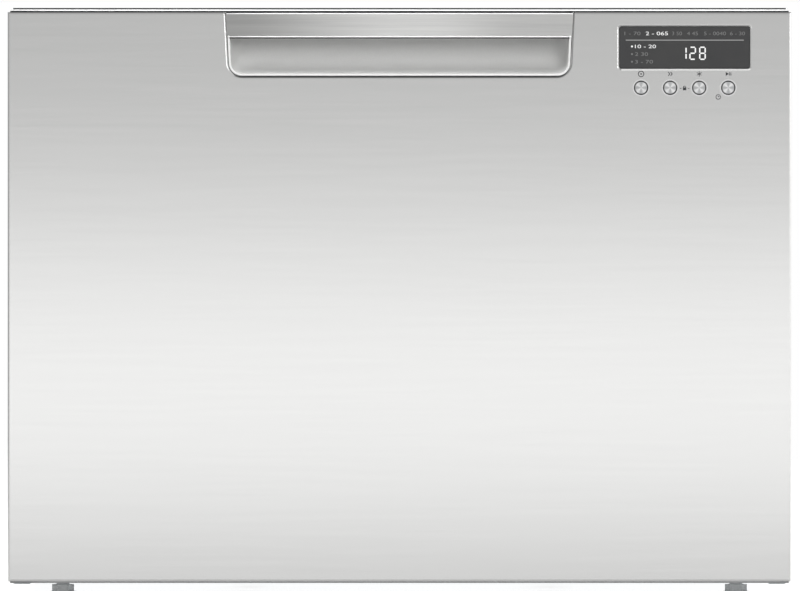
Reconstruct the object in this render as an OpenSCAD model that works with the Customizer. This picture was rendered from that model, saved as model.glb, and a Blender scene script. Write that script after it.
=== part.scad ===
// Drawer dishwasher: a tub on telescopic runners in a sheet steel chassis.
// Millimetres. X runs along the front, the front faces -Y, Z is up.
// The origin lies on the floor under the middle of the whole unit.

/* [Overall] */
// Width of the front panel
panel_w = 599; // [590:1:640]
// Height of the whole unit, from the floor to the top trim
unit_h = 454; // [448:1:490]
// Depth of the whole unit, from the panel face to the chassis back
unit_d = 573; // [568:1:620]

/* [Chassis] */
// Thickness of the chassis sheet steel
chassis_t = 1.2; // [0.8:0.1:2]
// How far the front panel stands past the chassis at each side
panel_overhang = 2; // [0.5:0.5:4]
// Width of the folded flanges of the chassis
flange_w = 14; // [10:1:18]
// Height of the upturned lip round the base pan
pan_lip = 26; // [16:1:34]
// Height of the chassis floor above the ground
foot_h = 12; // [9:1:16]
// Diameter of a levelling foot's pad
foot_d = 34; // [26:1:44]
// Diameter of a levelling foot's threaded stem
foot_stem_d = 10; // [6:1:12]
// Depth of the trim strip along the top of the chassis front
trim_d = 15; // [10:1:16]

/* [Front panel] */
// Height of the front panel's lower edge above the floor
panel_foot = 14; // [12:0.5:20]
// Depth of the front panel, with its folded edges
panel_t = 20; // [16:1:24]
// Thickness of the stainless steel skin
skin_t = 0.8; // [0.5:0.1:1.2]
// Outer radius of the skin's folded edges
bend_r = 2.4; // [1.6:0.1:4]
// Drop from the top of the unit to the top of the front panel
panel_drop = 4; // [3:0.5:6]

/* [Handle] */
// Distance of the handle cut-out's top corners from the panel's sides
notch_inset = 166.2; // [160:0.1:200]
// How far each side of the cut-out leans in over its height
notch_taper = 2.45; // [0:0.05:8]
// Height of the handle cut-out
notch_h = 49.8; // [44:0.2:60]
// Radius of the cut-out's lower corners
notch_r = 10.7; // [5:0.1:16]
// Height of the brushed pull bar
bar_h = 18.3; // [12:0.1:22]
// Thickness of the pull bar's front wall
bar_t = 3; // [2:0.5:4]
// Depth of the finger pocket behind the panel face
pocket_d = 32; // [26:1:33]
// Wall of the pocket moulding
pocket_wall = 2; // [1.5:0.1:3]
// Width of the pocket's rim, seen from the front
pocket_rim = 3; // [2:0.5:5]

/* [Display and buttons] */
// Width of the display window
lens_w = 100.2; // [80:0.2:110]
// Height of the display window
lens_h = 32.3; // [24:0.1:34]
// Thickness of the display window
lens_t = 2.5; // [1.5:0.5:4]
// Corner radius of the display window
lens_r = 2; // [1:0.5:4]
// Distance of the display's middle from the panel's right edge
lens_inset = 81.6; // [76:0.1:86]
// Drop from the panel's top edge to the display's middle
lens_drop = 27.2; // [24:0.1:29]
// Diameter of a button's cap
button_d = 10; // [8:0.5:12]
// Distance between the middles of neighbouring buttons
button_pitch = 22.2; // [18:0.1:24]
// Drop from the panel's top edge to the middles of the buttons
button_drop = 58; // [56:0.5:64]
// How far a button travels when it is pressed
button_travel = 1.2; // [0.6:0.1:1.6]
// Diameter of a button's stem
button_stem_d = 6; // [4:0.5:7]

/* [Runners] */
// Height of a telescopic runner
runner_h = 45; // [36:1:50]
// Width of a telescopic runner between wall and tub
runner_w = 12.7; // [11.5:0.1:14]
// Room between the runners and the back of the chassis
runner_back_gap = 47; // [30:1:70]
// Drop from the tub's rim to the runners' middle line
runner_drop = 80; // [70:1:100]
// Steel of the runner members
runner_t = 1.5; // [1.2:0.1:1.8]

/* [Tub] */
// Room between the panel's edge and the inside of the tub, at each side
tub_side_gap = 41.5; // [40.5:0.5:55]
// Room between the inside of the tub and the back of the chassis
tub_back_gap = 70; // [69:1:90]
// Height of the tub's floor above the ground
tub_floor_z = 100; // [98:1:112]
// Wall of the tub
tub_wall = 3; // [2:0.5:4]
// Width of the rim that carries the lid's seal, outside the wall
rim_w = 8; // [5:1:10]
// How far each tub wall leans in over its height
tub_draft = 6; // [2:1:12]
// Corner radius of the tub inside, at its rim
tub_r = 42; // [25:1:60]
// Drop from the top of the unit to the tub's rim
rim_drop = 44; // [42:1:52]
// Setback of the tub's rim opening from the panel face
tub_setback = 51; // [50:1:60]
// Diameter of the round sump in the tub floor
sump_d = 208; // [180:2:230]
// Depth of the sump below the tub floor
sump_h = 22; // [18:1:28]

/* [Lid] */
// Height of the lid with its ribs
lid_h = 28; // [20:1:30]
// Wall of the lid moulding
lid_wall = 2.5; // [2:0.5:4]
// Height of the lid's seal
seal_h = 6; // [4:0.5:8]
// How far the lid lifts off the tub
lid_lift = 8; // [4:0.5:9]
// Length of a lid link between its pins
link_len = 40; // [34:1:56]
// Diameter of the link pins
link_pin_d = 6; // [4:0.5:8]

/* [Wash system] */
// Gap between the tips of the spray arm and the tub's walls
arm_gap = 26; // [16:1:60]
// Diameter of the wash motor's housing
motor_d = 128; // [100:2:140]
// Height of the wash motor's housing
motor_h = 34; // [28:1:36]
// Diameter of the pump rotor's impeller
impeller_d = 84; // [60:2:96]
// Diameter of the rotor's shaft
shaft_d = 8; // [6:0.5:10]
// Gap between the impeller and the drain filter, and between the filter and the sump wall
filter_gap = 7; // [6:0.5:12]

/* [Rack] */
// Diameter of the rack wire
wire_d = 4; // [3:0.5:5]
// Gap between the rack and the tub's side walls
rack_side_gap = 20; // [18:1:34]
// Gap between the rack and the tub's front and back walls
rack_end_gap = 21; // [18:1:30]
// Height of the rack's basket
rack_h = 112; // [90:2:130]
// Height of the plate tines
tine_h = 74; // [50:1:80]
// Number of tines in each folding row
tine_count = 10; // [6:1:11]
// Height of the cutlery basket's body
cutlery_h = 100; // [70:2:130]

/* [Hidden] */
$fn = 48;
// Clearance of a shaft or pin in its bearing, on the radius
fit = 0.05;
// Gap between pieces that must not rub
gap = 0.3;
// Overlap that makes a cut run clear of the face it starts from
eps = 0.5;

front_y = -unit_d / 2;
back_y = unit_d / 2;
panel_back = front_y + panel_t;
chassis_w = panel_w - 2 * panel_overhang;
side_x = chassis_w / 2;
side_in = side_x - chassis_t;
gasket_t = 1.7;
chassis_front = panel_back + gasket_t + gap;
chassis_d = back_y - chassis_front;
panel_top = unit_h - panel_drop;
panel_bottom = panel_foot;
panel_h = panel_top - panel_bottom;
lens_x = panel_w / 2 - lens_inset;
notch_top_w = panel_w - 2 * notch_inset;
notch_bottom_w = notch_top_w - 2 * notch_taper;
rim_z = unit_h - rim_drop;
floor_z = tub_floor_z;
tub_w = panel_w - 2 * tub_side_gap;
tub_d = unit_d - tub_setback - tub_back_gap;
tub_h = rim_z - floor_z;
arm_r = min(tub_w, tub_d) / 2 - arm_gap;
rack_w = tub_w - 2 * rack_side_gap;
rack_d = tub_d - 2 * rack_end_gap;
tub_front = front_y + tub_setback;
tub_y = tub_front + tub_d / 2;
seal_z = rim_z + gap;
sump_z = floor_z - sump_h;
runner_y = chassis_front + 4;
runner_len = back_y - runner_back_gap - runner_y;
runner_z = rim_z - runner_drop;
lid_w = tub_w + 2 * rim_w + 2 * tub_wall - 2;
lid_d = tub_d + 2 * rim_w + 2 * tub_wall - 6;
link_z = seal_z + seal_h + 14;
link_x = (lid_w / 2 + side_in) / 2;
link_t = 5;
// Distances of the two link pivots from the tub's middle, front and rear
link_pivots = [76 - tub_d / 2, tub_d / 2 - 106];
// Places of the four feet, from the middle
foot_x = side_in - 36;
foot_y = chassis_d / 2 - 42;
chassis_y = (chassis_front + back_y) / 2;

// Points of an arc round (x, y), from angle a to angle b
function arc(x, y, r, a, b, n = 8) =
  [for (i = [0:n]) [x + r * cos(a + (b - a) * i / n), y + r * sin(a + (b - a) * i / n)]];

// A rectangle centred on the origin with true round corners
module round_rect(w, h, r) {
  square([w - 2 * r, h], center = true);
  square([w, h - 2 * r], center = true);
  for (x = [-1, 1], y = [-1, 1])
    translate([x * (w / 2 - r), y * (h / 2 - r)])
      circle(r);
}

// The same rectangle, drawn with points for shapes that are lofted
module soft_rect(w, h, r, n = 6) {
  x = w / 2 - r;
  y = h / 2 - r;
  polygon(concat(arc(x, y, r, 0, 90, n), arc(-x, y, r, 90, 180, n),
         arc(-x, -y, r, 180, 270, n), arc(x, -y, r, 270, 360, n)));
}

// A closed loft between two soft rectangles, the second h higher
module loft(w1, d1, r1, w2, d2, r2, h, n = 6) {
  hull() {
    linear_extrude(0.01)
      soft_rect(w1, d1, r1, n);
    translate([0, 0, h - 0.01])
      linear_extrude(0.01)
        soft_rect(w2, d2, r2, n);
  }
}

// A channel section, open towards -X, with bent corners; its web lies at x = 0
module channel(h, lip, t, r = 2.5) {
  polygon(concat([[-lip, -h / 2]], arc(-r, -h / 2 + r, r, -90, 0, 4),
         arc(-r, h / 2 - r, r, 0, 90, 4), [[-lip, h / 2], [-lip, h / 2 - t]],
         arc(-r, h / 2 - r, r - t, 90, 0, 4), arc(-r, -h / 2 + r, r - t, 0, -90, 4),
         [[-lip, -h / 2 + t]]));
}

// Lays an XY outline into the XZ plane, and extrudes it d towards +Y from y
module along_y(y, d) {
  translate([0, y + d, 0])
    rotate([90, 0, 0])
      linear_extrude(d)
        children();
}

// Lays an XY outline into the YZ plane, and extrudes it w towards +X from x
module along_x(x, w) {
  translate([x, 0, 0])
    rotate([90, 0, 90])
      linear_extrude(w)
        children();
}

// Mirrors a right-hand piece to the left when side is -1
module to_side(side) {
  if (side > 0)
    children();
  else
    mirror([1, 0, 0])
      children();
}

// ---- Chassis ----

// One swage: a long raised bead pressed into a side sheet, seen from inside
module swage(z, len) {
  translate([side_in - 2, chassis_y, z])
    rotate([0, 90, 0])
      linear_extrude(2 + chassis_t / 2)
        round_rect(12, len, 5.9);
}

module swage_groove(z, len) {
  translate([side_in - 1, chassis_y, z])
    rotate([0, 90, 0])
      linear_extrude(2 + chassis_t)
        round_rect(8, len - 4, 3.9);
}

// Heights of the two bracket pairs that fasten the unit to its cabinet
bracket_z = [76, unit_h - 62];
bracket_h = 40;
bracket_l = 60;
bracket_t = 2;
bracket_y = chassis_front + flange_w + 8 + bracket_l / 2;
screw_d = 5;
bracket_holes = 32;

// Places of the screw holes in one bracket
module at_bracket_screws() {
  for (z = bracket_z, y = [-1, 1])
    translate([0, bracket_y + y * bracket_holes / 2, z])
      rotate([0, 90, 0])
        children();
}

// Height of the top trim's front edge
trim_h = 8;

// Notch in the chassis front through which a runner slides out
module runner_notch() {
  h = runner_h + 6;
  translate([side_x - flange_w - 10, panel_back - eps, runner_z - h / 2])
    cube([flange_w + 10 - chassis_t, 6, h]);
}

// Side sheet with folded flanges, swages, and slots for air and hoses
module chassis_side(side) {
  h = unit_h - chassis_t - foot_h;
  color("#9aa0a3")
    to_side(side)
      difference() {
        union() {
          along_y(chassis_front, chassis_d - chassis_t)
            translate([side_x, foot_h + h / 2])
              channel(h, flange_w, chassis_t);
          along_y(chassis_front, chassis_t)
            translate([side_x - flange_w, foot_h + chassis_t + front_lip + gap])
              square([flange_w - 1, h - 2 * chassis_t - front_lip - gap]);
          for (z = [190, 250])
            swage(z, chassis_d - 150);
        }
        for (z = [190, 250])
          swage_groove(z, chassis_d - 150);
        translate([side_in - 2, 0, 0])
          at_bracket_screws()
            cylinder(h = 6, d = screw_d);
        runner_notch();
        translate([side_x - flange_w - eps, chassis_front - eps, unit_h - trim_h - gap])
          cube([flange_w + 2 * eps, chassis_t + eps, trim_h + 1]);
        for (i = [0:4])
          translate([side_x - 3, chassis_y + 70 + i * 28, 120])
            rotate([0, 90, 0])
              linear_extrude(6)
                round_rect(46, 10, 4.9);
      }
}

// Height of the pan's front lip, under which the wash motor and pump pass
front_lip = 8;

// Base pan with an upturned lip, pressed ribs and the bushes of the feet
module chassis_base() {
  z = foot_h + chassis_t;
  w = 2 * side_in - 3;
  d = chassis_d - chassis_t - gap;
  y = chassis_front + d / 2;
  color("#8f9598")
    difference() {
      union() {
        translate([0, y, z])
          difference() {
            linear_extrude(pan_lip)
              round_rect(w, d, 6);
            translate([0, 0, chassis_t])
              linear_extrude(pan_lip)
                round_rect(w - 2 * chassis_t, d - 2 * chassis_t, 6 - chassis_t);
          }
        for (fx = [-1, 1], fy = [-1, 1])
          translate([fx * foot_x, chassis_y + fy * foot_y, z])
            cylinder(h = 14, d = foot_stem_d + 8);
        for (x = [-150, -90, 90, 150])
          translate([x, y, z + chassis_t / 2])
            linear_extrude(3)
              round_rect(10, d - 120, 4.9);
      }
      for (fx = [-1, 1], fy = [-1, 1])
        translate([fx * foot_x, chassis_y + fy * foot_y, z - eps])
          cylinder(h = 16, d = foot_stem_d + 2 * fit);
      translate([-w, chassis_front - eps, z + front_lip])
        cube([2 * w, 8 + eps, pan_lip]);
      for (x = [-120, 120], i = [0:3])
        translate([x, y - 150 + i * 100, z - eps])
          linear_extrude(4)
            round_rect(16, 60, 7.9);
    }
}

// Window in the back sheet through which hoses and the mains lead are joined
service_w = 150;
service_h = 62;
service_x = 170;
service_z = 78;

// Back sheet with side folds, two service windows and a top brace
module chassis_back() {
  z0 = foot_h + chassis_t;
  h = unit_h - z0;
  w = 2 * side_in - 0.4;
  color("#9aa0a3")
    difference() {
      union() {
        translate([-w / 2, back_y - chassis_t, z0])
          cube([w, chassis_t, h - 2 * chassis_t - 0.2]);
        along_x(-w / 2 + flange_w, w - 2 * flange_w)
          translate([back_y, unit_h - 15])
            channel(30, 40, chassis_t);
        for (x = [-1, 1])
          translate([x * (w / 2 - chassis_t / 2) - chassis_t / 2, back_y - 24,
               z0 + pan_lip + 2])
            cube([chassis_t, 24, h - pan_lip - 6]);
        for (x = [-120, 0, 120])
          translate([x, back_y - chassis_t / 2, unit_h / 2 + 13])
            rotate([90, 0, 0])
              linear_extrude(2 + chassis_t / 2)
                round_rect(14, unit_h - 234, 6.9);
      }
      for (x = [-1, 1])
        translate([x * service_x, back_y + eps, service_z])
          rotate([90, 0, 0])
            linear_extrude(3)
              round_rect(service_w, service_h, 6);
      for (x = [-120, 0, 120])
        translate([x, back_y + eps, 240])
          rotate([90, 0, 0])
            linear_extrude(2.2)
              round_rect(10, 216, 4.9);
    }
}

// Folded steel strip across the top of the chassis front
module top_trim() {
  w = chassis_w;
  z = unit_h - trim_h;
  color("#c9ccce")
    difference() {
      along_x(-w / 2, w)
        polygon(concat([[chassis_front, z]],
                       arc(chassis_front + 1, unit_h - 1, 1, 180, 90, 4),
                       [[chassis_front + trim_d, unit_h],
                        [chassis_front + trim_d, unit_h - chassis_t],
                        [chassis_front + chassis_t, unit_h - chassis_t],
                        [chassis_front + chassis_t, z]]));
      for (x = [-1, 1])
        translate([x * (side_x - flange_w / 2), chassis_front + 9, unit_h - 3])
          cylinder(h = 5, d = 3.4);
    }
}

// Rubber seal between the front panel and the chassis
module front_gasket() {
  z0 = foot_h + 2 * chassis_t;
  z1 = panel_top - 0.5;
  foot_strip = 7;
  top_strip = 4;
  color("#2b2d2f")
    difference() {
      along_y(panel_back + gap, gasket_t)
        difference() {
          translate([0, (z0 + z1) / 2])
            round_rect(chassis_w - 4, z1 - z0, 3);
          translate([0, (z0 + foot_strip + z1 - top_strip) / 2])
            round_rect(chassis_w - 22, z1 - z0 - foot_strip - top_strip, 3);
        }
      for (side = [-1, 1])
        to_side(side)
          runner_notch();
    }
}

// Steel plates behind the side sheets that take the cabinet screws
module mounting_brackets() {
  color("#b4b8ba")
    for (side = [-1, 1])
      to_side(side)
        difference() {
          for (z = bracket_z)
            translate([side_in - bracket_t, bracket_y, z])
              rotate([0, 90, 0])
                linear_extrude(bracket_t)
                  round_rect(bracket_h, bracket_l, 6);
          translate([side_in - 4, 0, 0])
            at_bracket_screws()
              cylinder(h = 6, d = screw_d);
        }
}

// Levelling foot: a broad pad, a hexagon for a spanner and a stem
module foot(x, y) {
  pad_h = 5;
  nut_h = foot_h - pad_h - 2;
  color("#3a3c3e")
    translate([x * foot_x, chassis_y + y * foot_y, 0]) {
      rotate_extrude()
        polygon(concat([[0, 0], [foot_d / 2 - 2, 0]],
               arc(foot_d / 2 - 1.5, 1.5, 1.5, -90, 60, 5),
               [[foot_stem_d / 2 + 3, pad_h], [0, pad_h]]));
      translate([0, 0, pad_h - eps])
        cylinder(h = nut_h + eps, d = foot_stem_d + 7, $fn = 6);
      translate([0, 0, pad_h])
        cylinder(h = 26, d = foot_stem_d);
    }
}

// ---- Runners: three members with ball rows between them ----

// Height of the member that runs inside another, past its ball rows
function inner_height(level) = runner_h - level * 2 * (runner_t + 2.4);

module runner_at(side, y) {
  to_side(side)
    translate([0, y, runner_z])
      children();
}

module runner_outer(side) {
  color("#a7acaf")
    runner_at(side, runner_y)
      difference() {
        translate([side_in, runner_len, 0])
          rotate([90, 0, 0])
            linear_extrude(runner_len)
              channel(runner_h, runner_w - 0.8, runner_t, 3);
        for (y = [40, runner_len - 40])
          translate([side_in - 6, y, 0])
            rotate([0, 90, 0])
              cylinder(h = 8, d = 5);
      }
}

// Middle member with the ball rows that it carries above and below
module runner_middle(side) {
  h = inner_height(1);
  x0 = 2.6;
  color("#9a9fa2")
    runner_at(side, runner_y)
      difference() {
        union() {
          translate([side_in - x0, runner_len, 0])
            rotate([90, 0, 0])
              linear_extrude(runner_len)
                channel(h, runner_w - x0 - 1.4, runner_t, 2.6);
          for (v = [-1, 1], i = [0:8])
            translate([side_in - x0 - 4.5, 18 + i * (runner_len - 36) / 8,
                 v * (h / 2 + 0.9)])
              sphere(d = 2.6, $fn = 16);
        }
        for (y = [60, runner_len / 2, runner_len - 60])
          translate([side_in - 8, y, 0])
            rotate([0, 90, 0])
              cylinder(h = 8, d = 8);
      }
}

// Inner member, screwed to the tub's side
module runner_inner(side) {
  h = inner_height(2);
  x1 = side_in - runner_w;
  color("#a7acaf")
    runner_at(side, runner_y)
      difference() {
        union() {
          translate([x1, runner_len, 0])
            rotate([90, 0, 0])
              linear_extrude(runner_len)
                mirror([1, 0])
                  channel(h, runner_w - 5, runner_t, 2.6);
          for (v = [-1, 1], i = [0:8])
            translate([x1 + 5, 32 + i * (runner_len - 64) / 8, v * (h / 2 + 0.9)])
              sphere(d = 2.6, $fn = 16);
        }
        for (y = [80, runner_len / 2, runner_len - 80])
          translate([x1 - 2, y, 0])
            rotate([0, 90, 0])
              cylinder(h = 6, d = 5);
      }
}

// ---- Lid, lowered onto the tub and lifted by four links ----

// Moulded rail on each chassis side that carries the link pivots and the lift motor
module lid_rail(side) {
  y0 = tub_y + link_pivots[0];
  y1 = tub_y + link_pivots[1];
  depth = 6;
  color("#dfe2e3")
    to_side(side)
      difference() {
        union() {
          translate([side_in - depth, (y0 + y1) / 2, link_z])
            rotate([0, 90, 0])
              linear_extrude(depth)
                round_rect(20, y1 - y0 + 40, 8);
          for (y = [y0, y1])
            translate([link_x - link_t / 2 - 1, y, link_z])
              rotate([0, 90, 0])
                cylinder(h = side_in - link_x + link_t / 2 - 1, d = link_pin_d);
          translate([side_in - 12, y0 - 40, link_z])
            rotate([0, 90, 0])
              linear_extrude(12)
                round_rect(22, 44, 4);
          translate([side_in - 17, y0 - 46, link_z])
            rotate([0, 90, 0])
              cylinder(h = 6, d = 18);
        }
        for (y = [y0 + 60 : 24 : y1 - 50])
          translate([side_in - depth - eps, y, link_z])
            rotate([0, 90, 0])
              linear_extrude(depth - 1.5)
                round_rect(12, 16, 2);
      }
}

link_sink = asin(lid_lift / 2 / link_len);

module at_link_eyes(side) {
  to_side(side)
    for (y = link_pivots)
      translate([0, tub_y + y + link_len * cos(link_sink), link_z - lid_lift / 2])
        children();
}

// One link: a bore on the rail's pin, and a short slot for the lid's pin
module lid_link(side, pivot) {
  color("#e6e8e9")
    to_side(side)
      translate([link_x - link_t / 2, tub_y + pivot, link_z])
        rotate([-link_sink, 0, 0])
          rotate([90, 0, 90])
            difference() {
              linear_extrude(link_t) {
                circle(d = link_pin_d + 9);
                translate([link_len, 0])
                  circle(d = link_pin_d + 9);
                translate([0, -5])
                  square([link_len, 10]);
              }
              translate([0, 0, -eps])
                cylinder(h = link_t + 2 * eps, d = link_pin_d + 2 * fit);
              translate([link_len, 0, -eps])
                linear_extrude(link_t + 2 * eps)
                  round_rect(link_pin_d + 1.6, link_pin_d + 0.4,
                       link_pin_d / 2 + 0.1);
              translate([link_pin_d + 4, -1.5, link_t - 1])
                cube([link_len - 2 * link_pin_d - 8, 3, 2]);
            }
}

// Lid: a deck with a rim and a grid of ribs on top, and lugs for the link pins
module lid_shell() {
  z = seal_z + seal_h;
  r = 34;
  deck = 3.5;
  color("#d5d8da")
    union() {
      translate([0, tub_y, z])
        difference() {
          union() {
            linear_extrude(deck)
              round_rect(lid_w, lid_d, r);
            linear_extrude(lid_h)
              difference() {
                round_rect(lid_w, lid_d, r);
                round_rect(lid_w - 2 * lid_wall, lid_d - 2 * lid_wall,
                     r - lid_wall);
              }
            linear_extrude(lid_h - 7)
              intersection() {
                round_rect(lid_w - lid_wall, lid_d - lid_wall, r - 1);
                union() {
                  for (x = [-3:3])
                    translate([x * lid_w / 8, 0])
                      square([lid_wall, lid_d], center = true);
                  for (y = [-2:2])
                    translate([0, y * lid_d / 6])
                      square([lid_w, lid_wall], center = true);
                }
              }
            cylinder(h = lid_h - 7, d = 90);
          }
          translate([0, 0, deck])
            cylinder(h = lid_h, d = 90 - 2 * lid_wall);
          translate([0, 0, -eps])
            linear_extrude(1.2 + eps)
              round_rect(lid_w - 70, lid_d - 70, r - 12);
        }
      at_link_eyes(1)
        lid_lug();
      at_link_eyes(-1)
        lid_lug();
    }
}

// Lug on the lid's side with the pin that sits in a link's slot
module lid_lug() {
  x0 = lid_w / 2 - lid_wall;
  translate([x0, 0, 0])
    rotate([0, 90, 0])
      cylinder(h = lid_wall + 4, d = 15);
  translate([x0, 0, 0])
    rotate([0, 90, 0])
      cylinder(h = link_x + link_t / 2 + 1 - x0, d = link_pin_d);
}

// Rubber seal under the lid, with a groove between its two lips
module lid_seal() {
  w = tub_w + 2 * tub_wall + 2 * rim_w - 6;
  d = tub_d + 2 * tub_wall + 2 * rim_w - 8;
  lip = rim_w + tub_wall - 4;
  color("#5b5f62")
    translate([0, tub_y, seal_z])
      difference() {
        linear_extrude(seal_h)
          difference() {
            round_rect(w, d, tub_r + 4);
            round_rect(w - 2 * lip, d - 2 * lip, tub_r + 4 - lip);
          }
        translate([0, 0, -eps])
          linear_extrude(2 + eps)
            difference() {
              round_rect(w - 4, d - 4, tub_r + 2);
              round_rect(w - 2 * lip + 4, d - 2 * lip + 4, tub_r + 6 - lip);
            }
      }
}

// ---- Tub and wash system ----

tub_floor_w = tub_w - 2 * tub_draft;
tub_floor_d = tub_d - 2 * tub_draft;
rail_x = side_in - runner_w;
// Places of the four bosses that carry the front panel, from the middle and from the floor
boss_x = tub_w / 2 - 68;
boss_z = [floor_z + 50, rim_z - 70];
boss_d = 22;
boss_y = tub_front - tub_wall - 6;
// Place of the dispenser in the tub's front wall
dispenser_x = tub_w / 2 - 168;
dispenser_z = rim_z - 100;
dispenser_w = 150;
dispenser_h = 92;
motor_z = sump_z - tub_wall;

// Tub: a drafted, round-cornered basin with a rim, runner rails and a sump
module tub() {
  color("#e9ebec")
    difference() {
      union() {
        translate([0, tub_y, floor_z - tub_wall])
          loft(tub_floor_w + 2 * tub_wall, tub_floor_d + 2 * tub_wall, tub_r,
            tub_w + 2 * tub_wall, tub_d + 2 * tub_wall, tub_r + tub_wall,
            tub_h + tub_wall);
        translate([0, tub_y, rim_z - 5])
          linear_extrude(5)
            round_rect(tub_w + 2 * tub_wall + 2 * rim_w,
                 tub_d + 2 * tub_wall + 2 * rim_w, tub_r + tub_wall);
        for (side = [-1, 1])
          to_side(side)
            tub_rail();
        for (x = [-1, 1], z = boss_z)
          translate([x * boss_x, boss_y, z])
            rotate([-90, 0, 0])
              cylinder(h = 24, d = boss_d);
        translate([0, tub_y, sump_z - tub_wall])
          cylinder(h = sump_h + 4, d1 = sump_d - 6, d2 = sump_d + 2 * tub_wall);
        for (a = [0:30:330])
          translate([0, tub_y, floor_z - tub_wall - 9])
            rotate(a)
              translate([sump_d / 2, -1.25, 0])
                cube([tub_floor_d / 2 - sump_d / 2 - 24, 2.5, 10]);
      }
      translate([0, tub_y, floor_z])
        loft(tub_floor_w, tub_floor_d, tub_r - tub_wall, tub_w, tub_d, tub_r,
          tub_h + 0.01);
      translate([0, tub_y, rim_z - 1])
        linear_extrude(3)
          soft_rect(tub_w, tub_d, tub_r);
      translate([0, tub_y, sump_z])
        cylinder(h = sump_h + eps, d1 = sump_d - 12, d2 = sump_d);
      translate([0, tub_y, sump_z - 2 * tub_wall])
        cylinder(h = 3 * tub_wall, d = impeller_d + 12);
      translate([dispenser_x, tub_front - 20, dispenser_z])
        rotate([-90, 0, 0])
          linear_extrude(40)
            round_rect(dispenser_w, dispenser_h, 8);
      for (x = [-1, 1], z = boss_z)
        translate([x * boss_x, boss_y - eps, z])
          rotate([-90, 0, 0])
            cylinder(h = 8, d = 4.2);
    }
}

// Ribbed rail along the tub's side that carries the runner's inner member
module tub_rail() {
  x0 = tub_w / 2;
  h = inner_height(2);
  translate([rail_x - 2.5, runner_y + 14, runner_z - h / 2 + 1])
    cube([2.5, tub_d + 4, h - 2]);
  for (v = [-1, 1])
    translate([x0 - 3, runner_y + 22, runner_z + v * (h / 2 - 3) - 1.5])
      cube([rail_x - x0 + 2, tub_d - 12, 3]);
  for (i = [0:8])
    translate([x0 - 3, runner_y + 50 + i * (tub_d - 60) / 8, runner_z - h / 2 + 2])
      cube([rail_x - x0 + 2, 3, h - 4]);
}

// Wash motor: a finned housing hung under the sump, with the shaft's bearing
module wash_motor() {
  color("#3b4a55")
    translate([0, tub_y, motor_z - motor_h])
      difference() {
        union() {
          rotate_extrude($fn = 72)
            polygon([[0, 0], [motor_d / 2 - 16, 0], [motor_d / 2 - 4, 8],
                [motor_d / 2 - 4, motor_h - 6], [motor_d / 2 + 6, motor_h - 6],
                [motor_d / 2 + 6, motor_h], [0, motor_h]]);
          for (a = [0:20:340])
            rotate(a)
              translate([motor_d / 2 - 8, -1.5, 6])
                cube([8, 3, motor_h - 8]);
          cylinder(h = motor_h + 5, d = shaft_d + 14);
          translate([-motor_d / 2 - 14, -18, 10])
            cube([24, 36, 22]);
        }
        translate([0, 0, 14])
          cylinder(h = motor_h, d = shaft_d + 2 * fit);
        for (a = [45:90:315])
          rotate(a)
            translate([motor_d / 2 + 1, 0, motor_h - 10])
              cylinder(h = 12, d = 4.4);
      }
}

// Pump rotor: a shaft with a disc and curved blades, driven by the wash motor
module pump_rotor() {
  blade_h = 8;
  z = motor_z + 5 + 2;
  r = impeller_d / 2;
  color("#c4c8ca")
    translate([0, tub_y, 0]) {
      translate([0, 0, motor_z - motor_h + 14 + gap])
        cylinder(h = z - motor_z + motor_h - 14 + blade_h, d = shaft_d);
      translate([0, 0, z])
        cylinder(h = 2.5, d = impeller_d);
      translate([0, 0, z])
        cylinder(h = blade_h + 2, d1 = 24, d2 = 15);
      for (a = [0:51.4:359])
        rotate(a)
          translate([0, 0, z + 2])
            linear_extrude(blade_h)
              polygon(concat([for (i = [0:6]) let (q = i / 6)
                        [(8 + q * (r - 9)) * cos(q * 48),
                        (8 + q * (r - 9)) * sin(q * 48)]],
                     [for (i = [6:-1:0]) let (q = i / 6)
                        [(8 + q * (r - 9)) * cos(q * 48 + 4),
                        (8 + q * (r - 9)) * sin(q * 48 + 4)]]));
    }
}

// Drain pump beside the motor, with its outlet spigot
pump_x = -118;
pump_y = tub_y + 92;
pump_z = 50;
module drain_pump() {
  color("#2f3234")
    translate([pump_x, pump_y, pump_z]) {
      rotate([0, 90, 0])
        cylinder(h = 34, d = 50);
      translate([-26, 0, 0])
        rotate([0, 90, 0])
          cylinder(h = 27, d = 38);
      translate([0, 14, 12])
        rotate([-90, 0, 0])
          difference() {
            cylinder(h = 36, d = 18);
            translate([0, 0, 6])
              cylinder(h = 40, d = 13);
          }
      translate([6, -10, 20])
        cube([20, 20, floor_z - tub_wall - pump_z - 20]);
    }
}

// Heater: a steel ring on the sump's floor with its sheathed element
module heater_plate() {
  color("#8a8f92")
    translate([0, tub_y, sump_z]) {
      difference() {
        cylinder(h = 1.5, d = sump_d - 18, $fn = 72);
        translate([0, 0, -eps])
          cylinder(h = 4, d = impeller_d + 20);
      }
      translate([0, 0, 1.4])
        rotate_extrude($fn = 72)
          translate([sump_d / 2 - 26, 0])
            square([6, 2.6]);
    }
}

filter_d = (sump_d - impeller_d) / 2 - 2 * filter_gap;
filter_x = (impeller_d + filter_d) / 2 + filter_gap - 3;

// Filter plate over the sump, pierced with rings of fine slots
module filter_plate() {
  color("#b9bdbf") {
    arm_stub();
    translate([0, tub_y, floor_z - 2.4])
      difference() {
        rotate_extrude($fn = 72)
          polygon([[0, 0], [sump_d / 2 - 4, 0], [sump_d / 2 - 4, 2.4 + gap],
              [sump_d / 2 + 6, 2.4 + gap], [sump_d / 2 + 6, 4],
              [sump_d / 2 - 4, 4], [30, 5], [0, 5]]);
        translate([0, 0, -eps])
          cylinder(h = 8, d = hub_d - 6);
        translate([filter_x, 0, -eps])
          cylinder(h = 8, d = filter_d + 2 * fit);
        for (a = [60:15:300])
          rotate(a)
            translate([66, 0, -eps])
              linear_extrude(6)
                round_rect(40, 3, 1.4);
      }
  }
}

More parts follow.
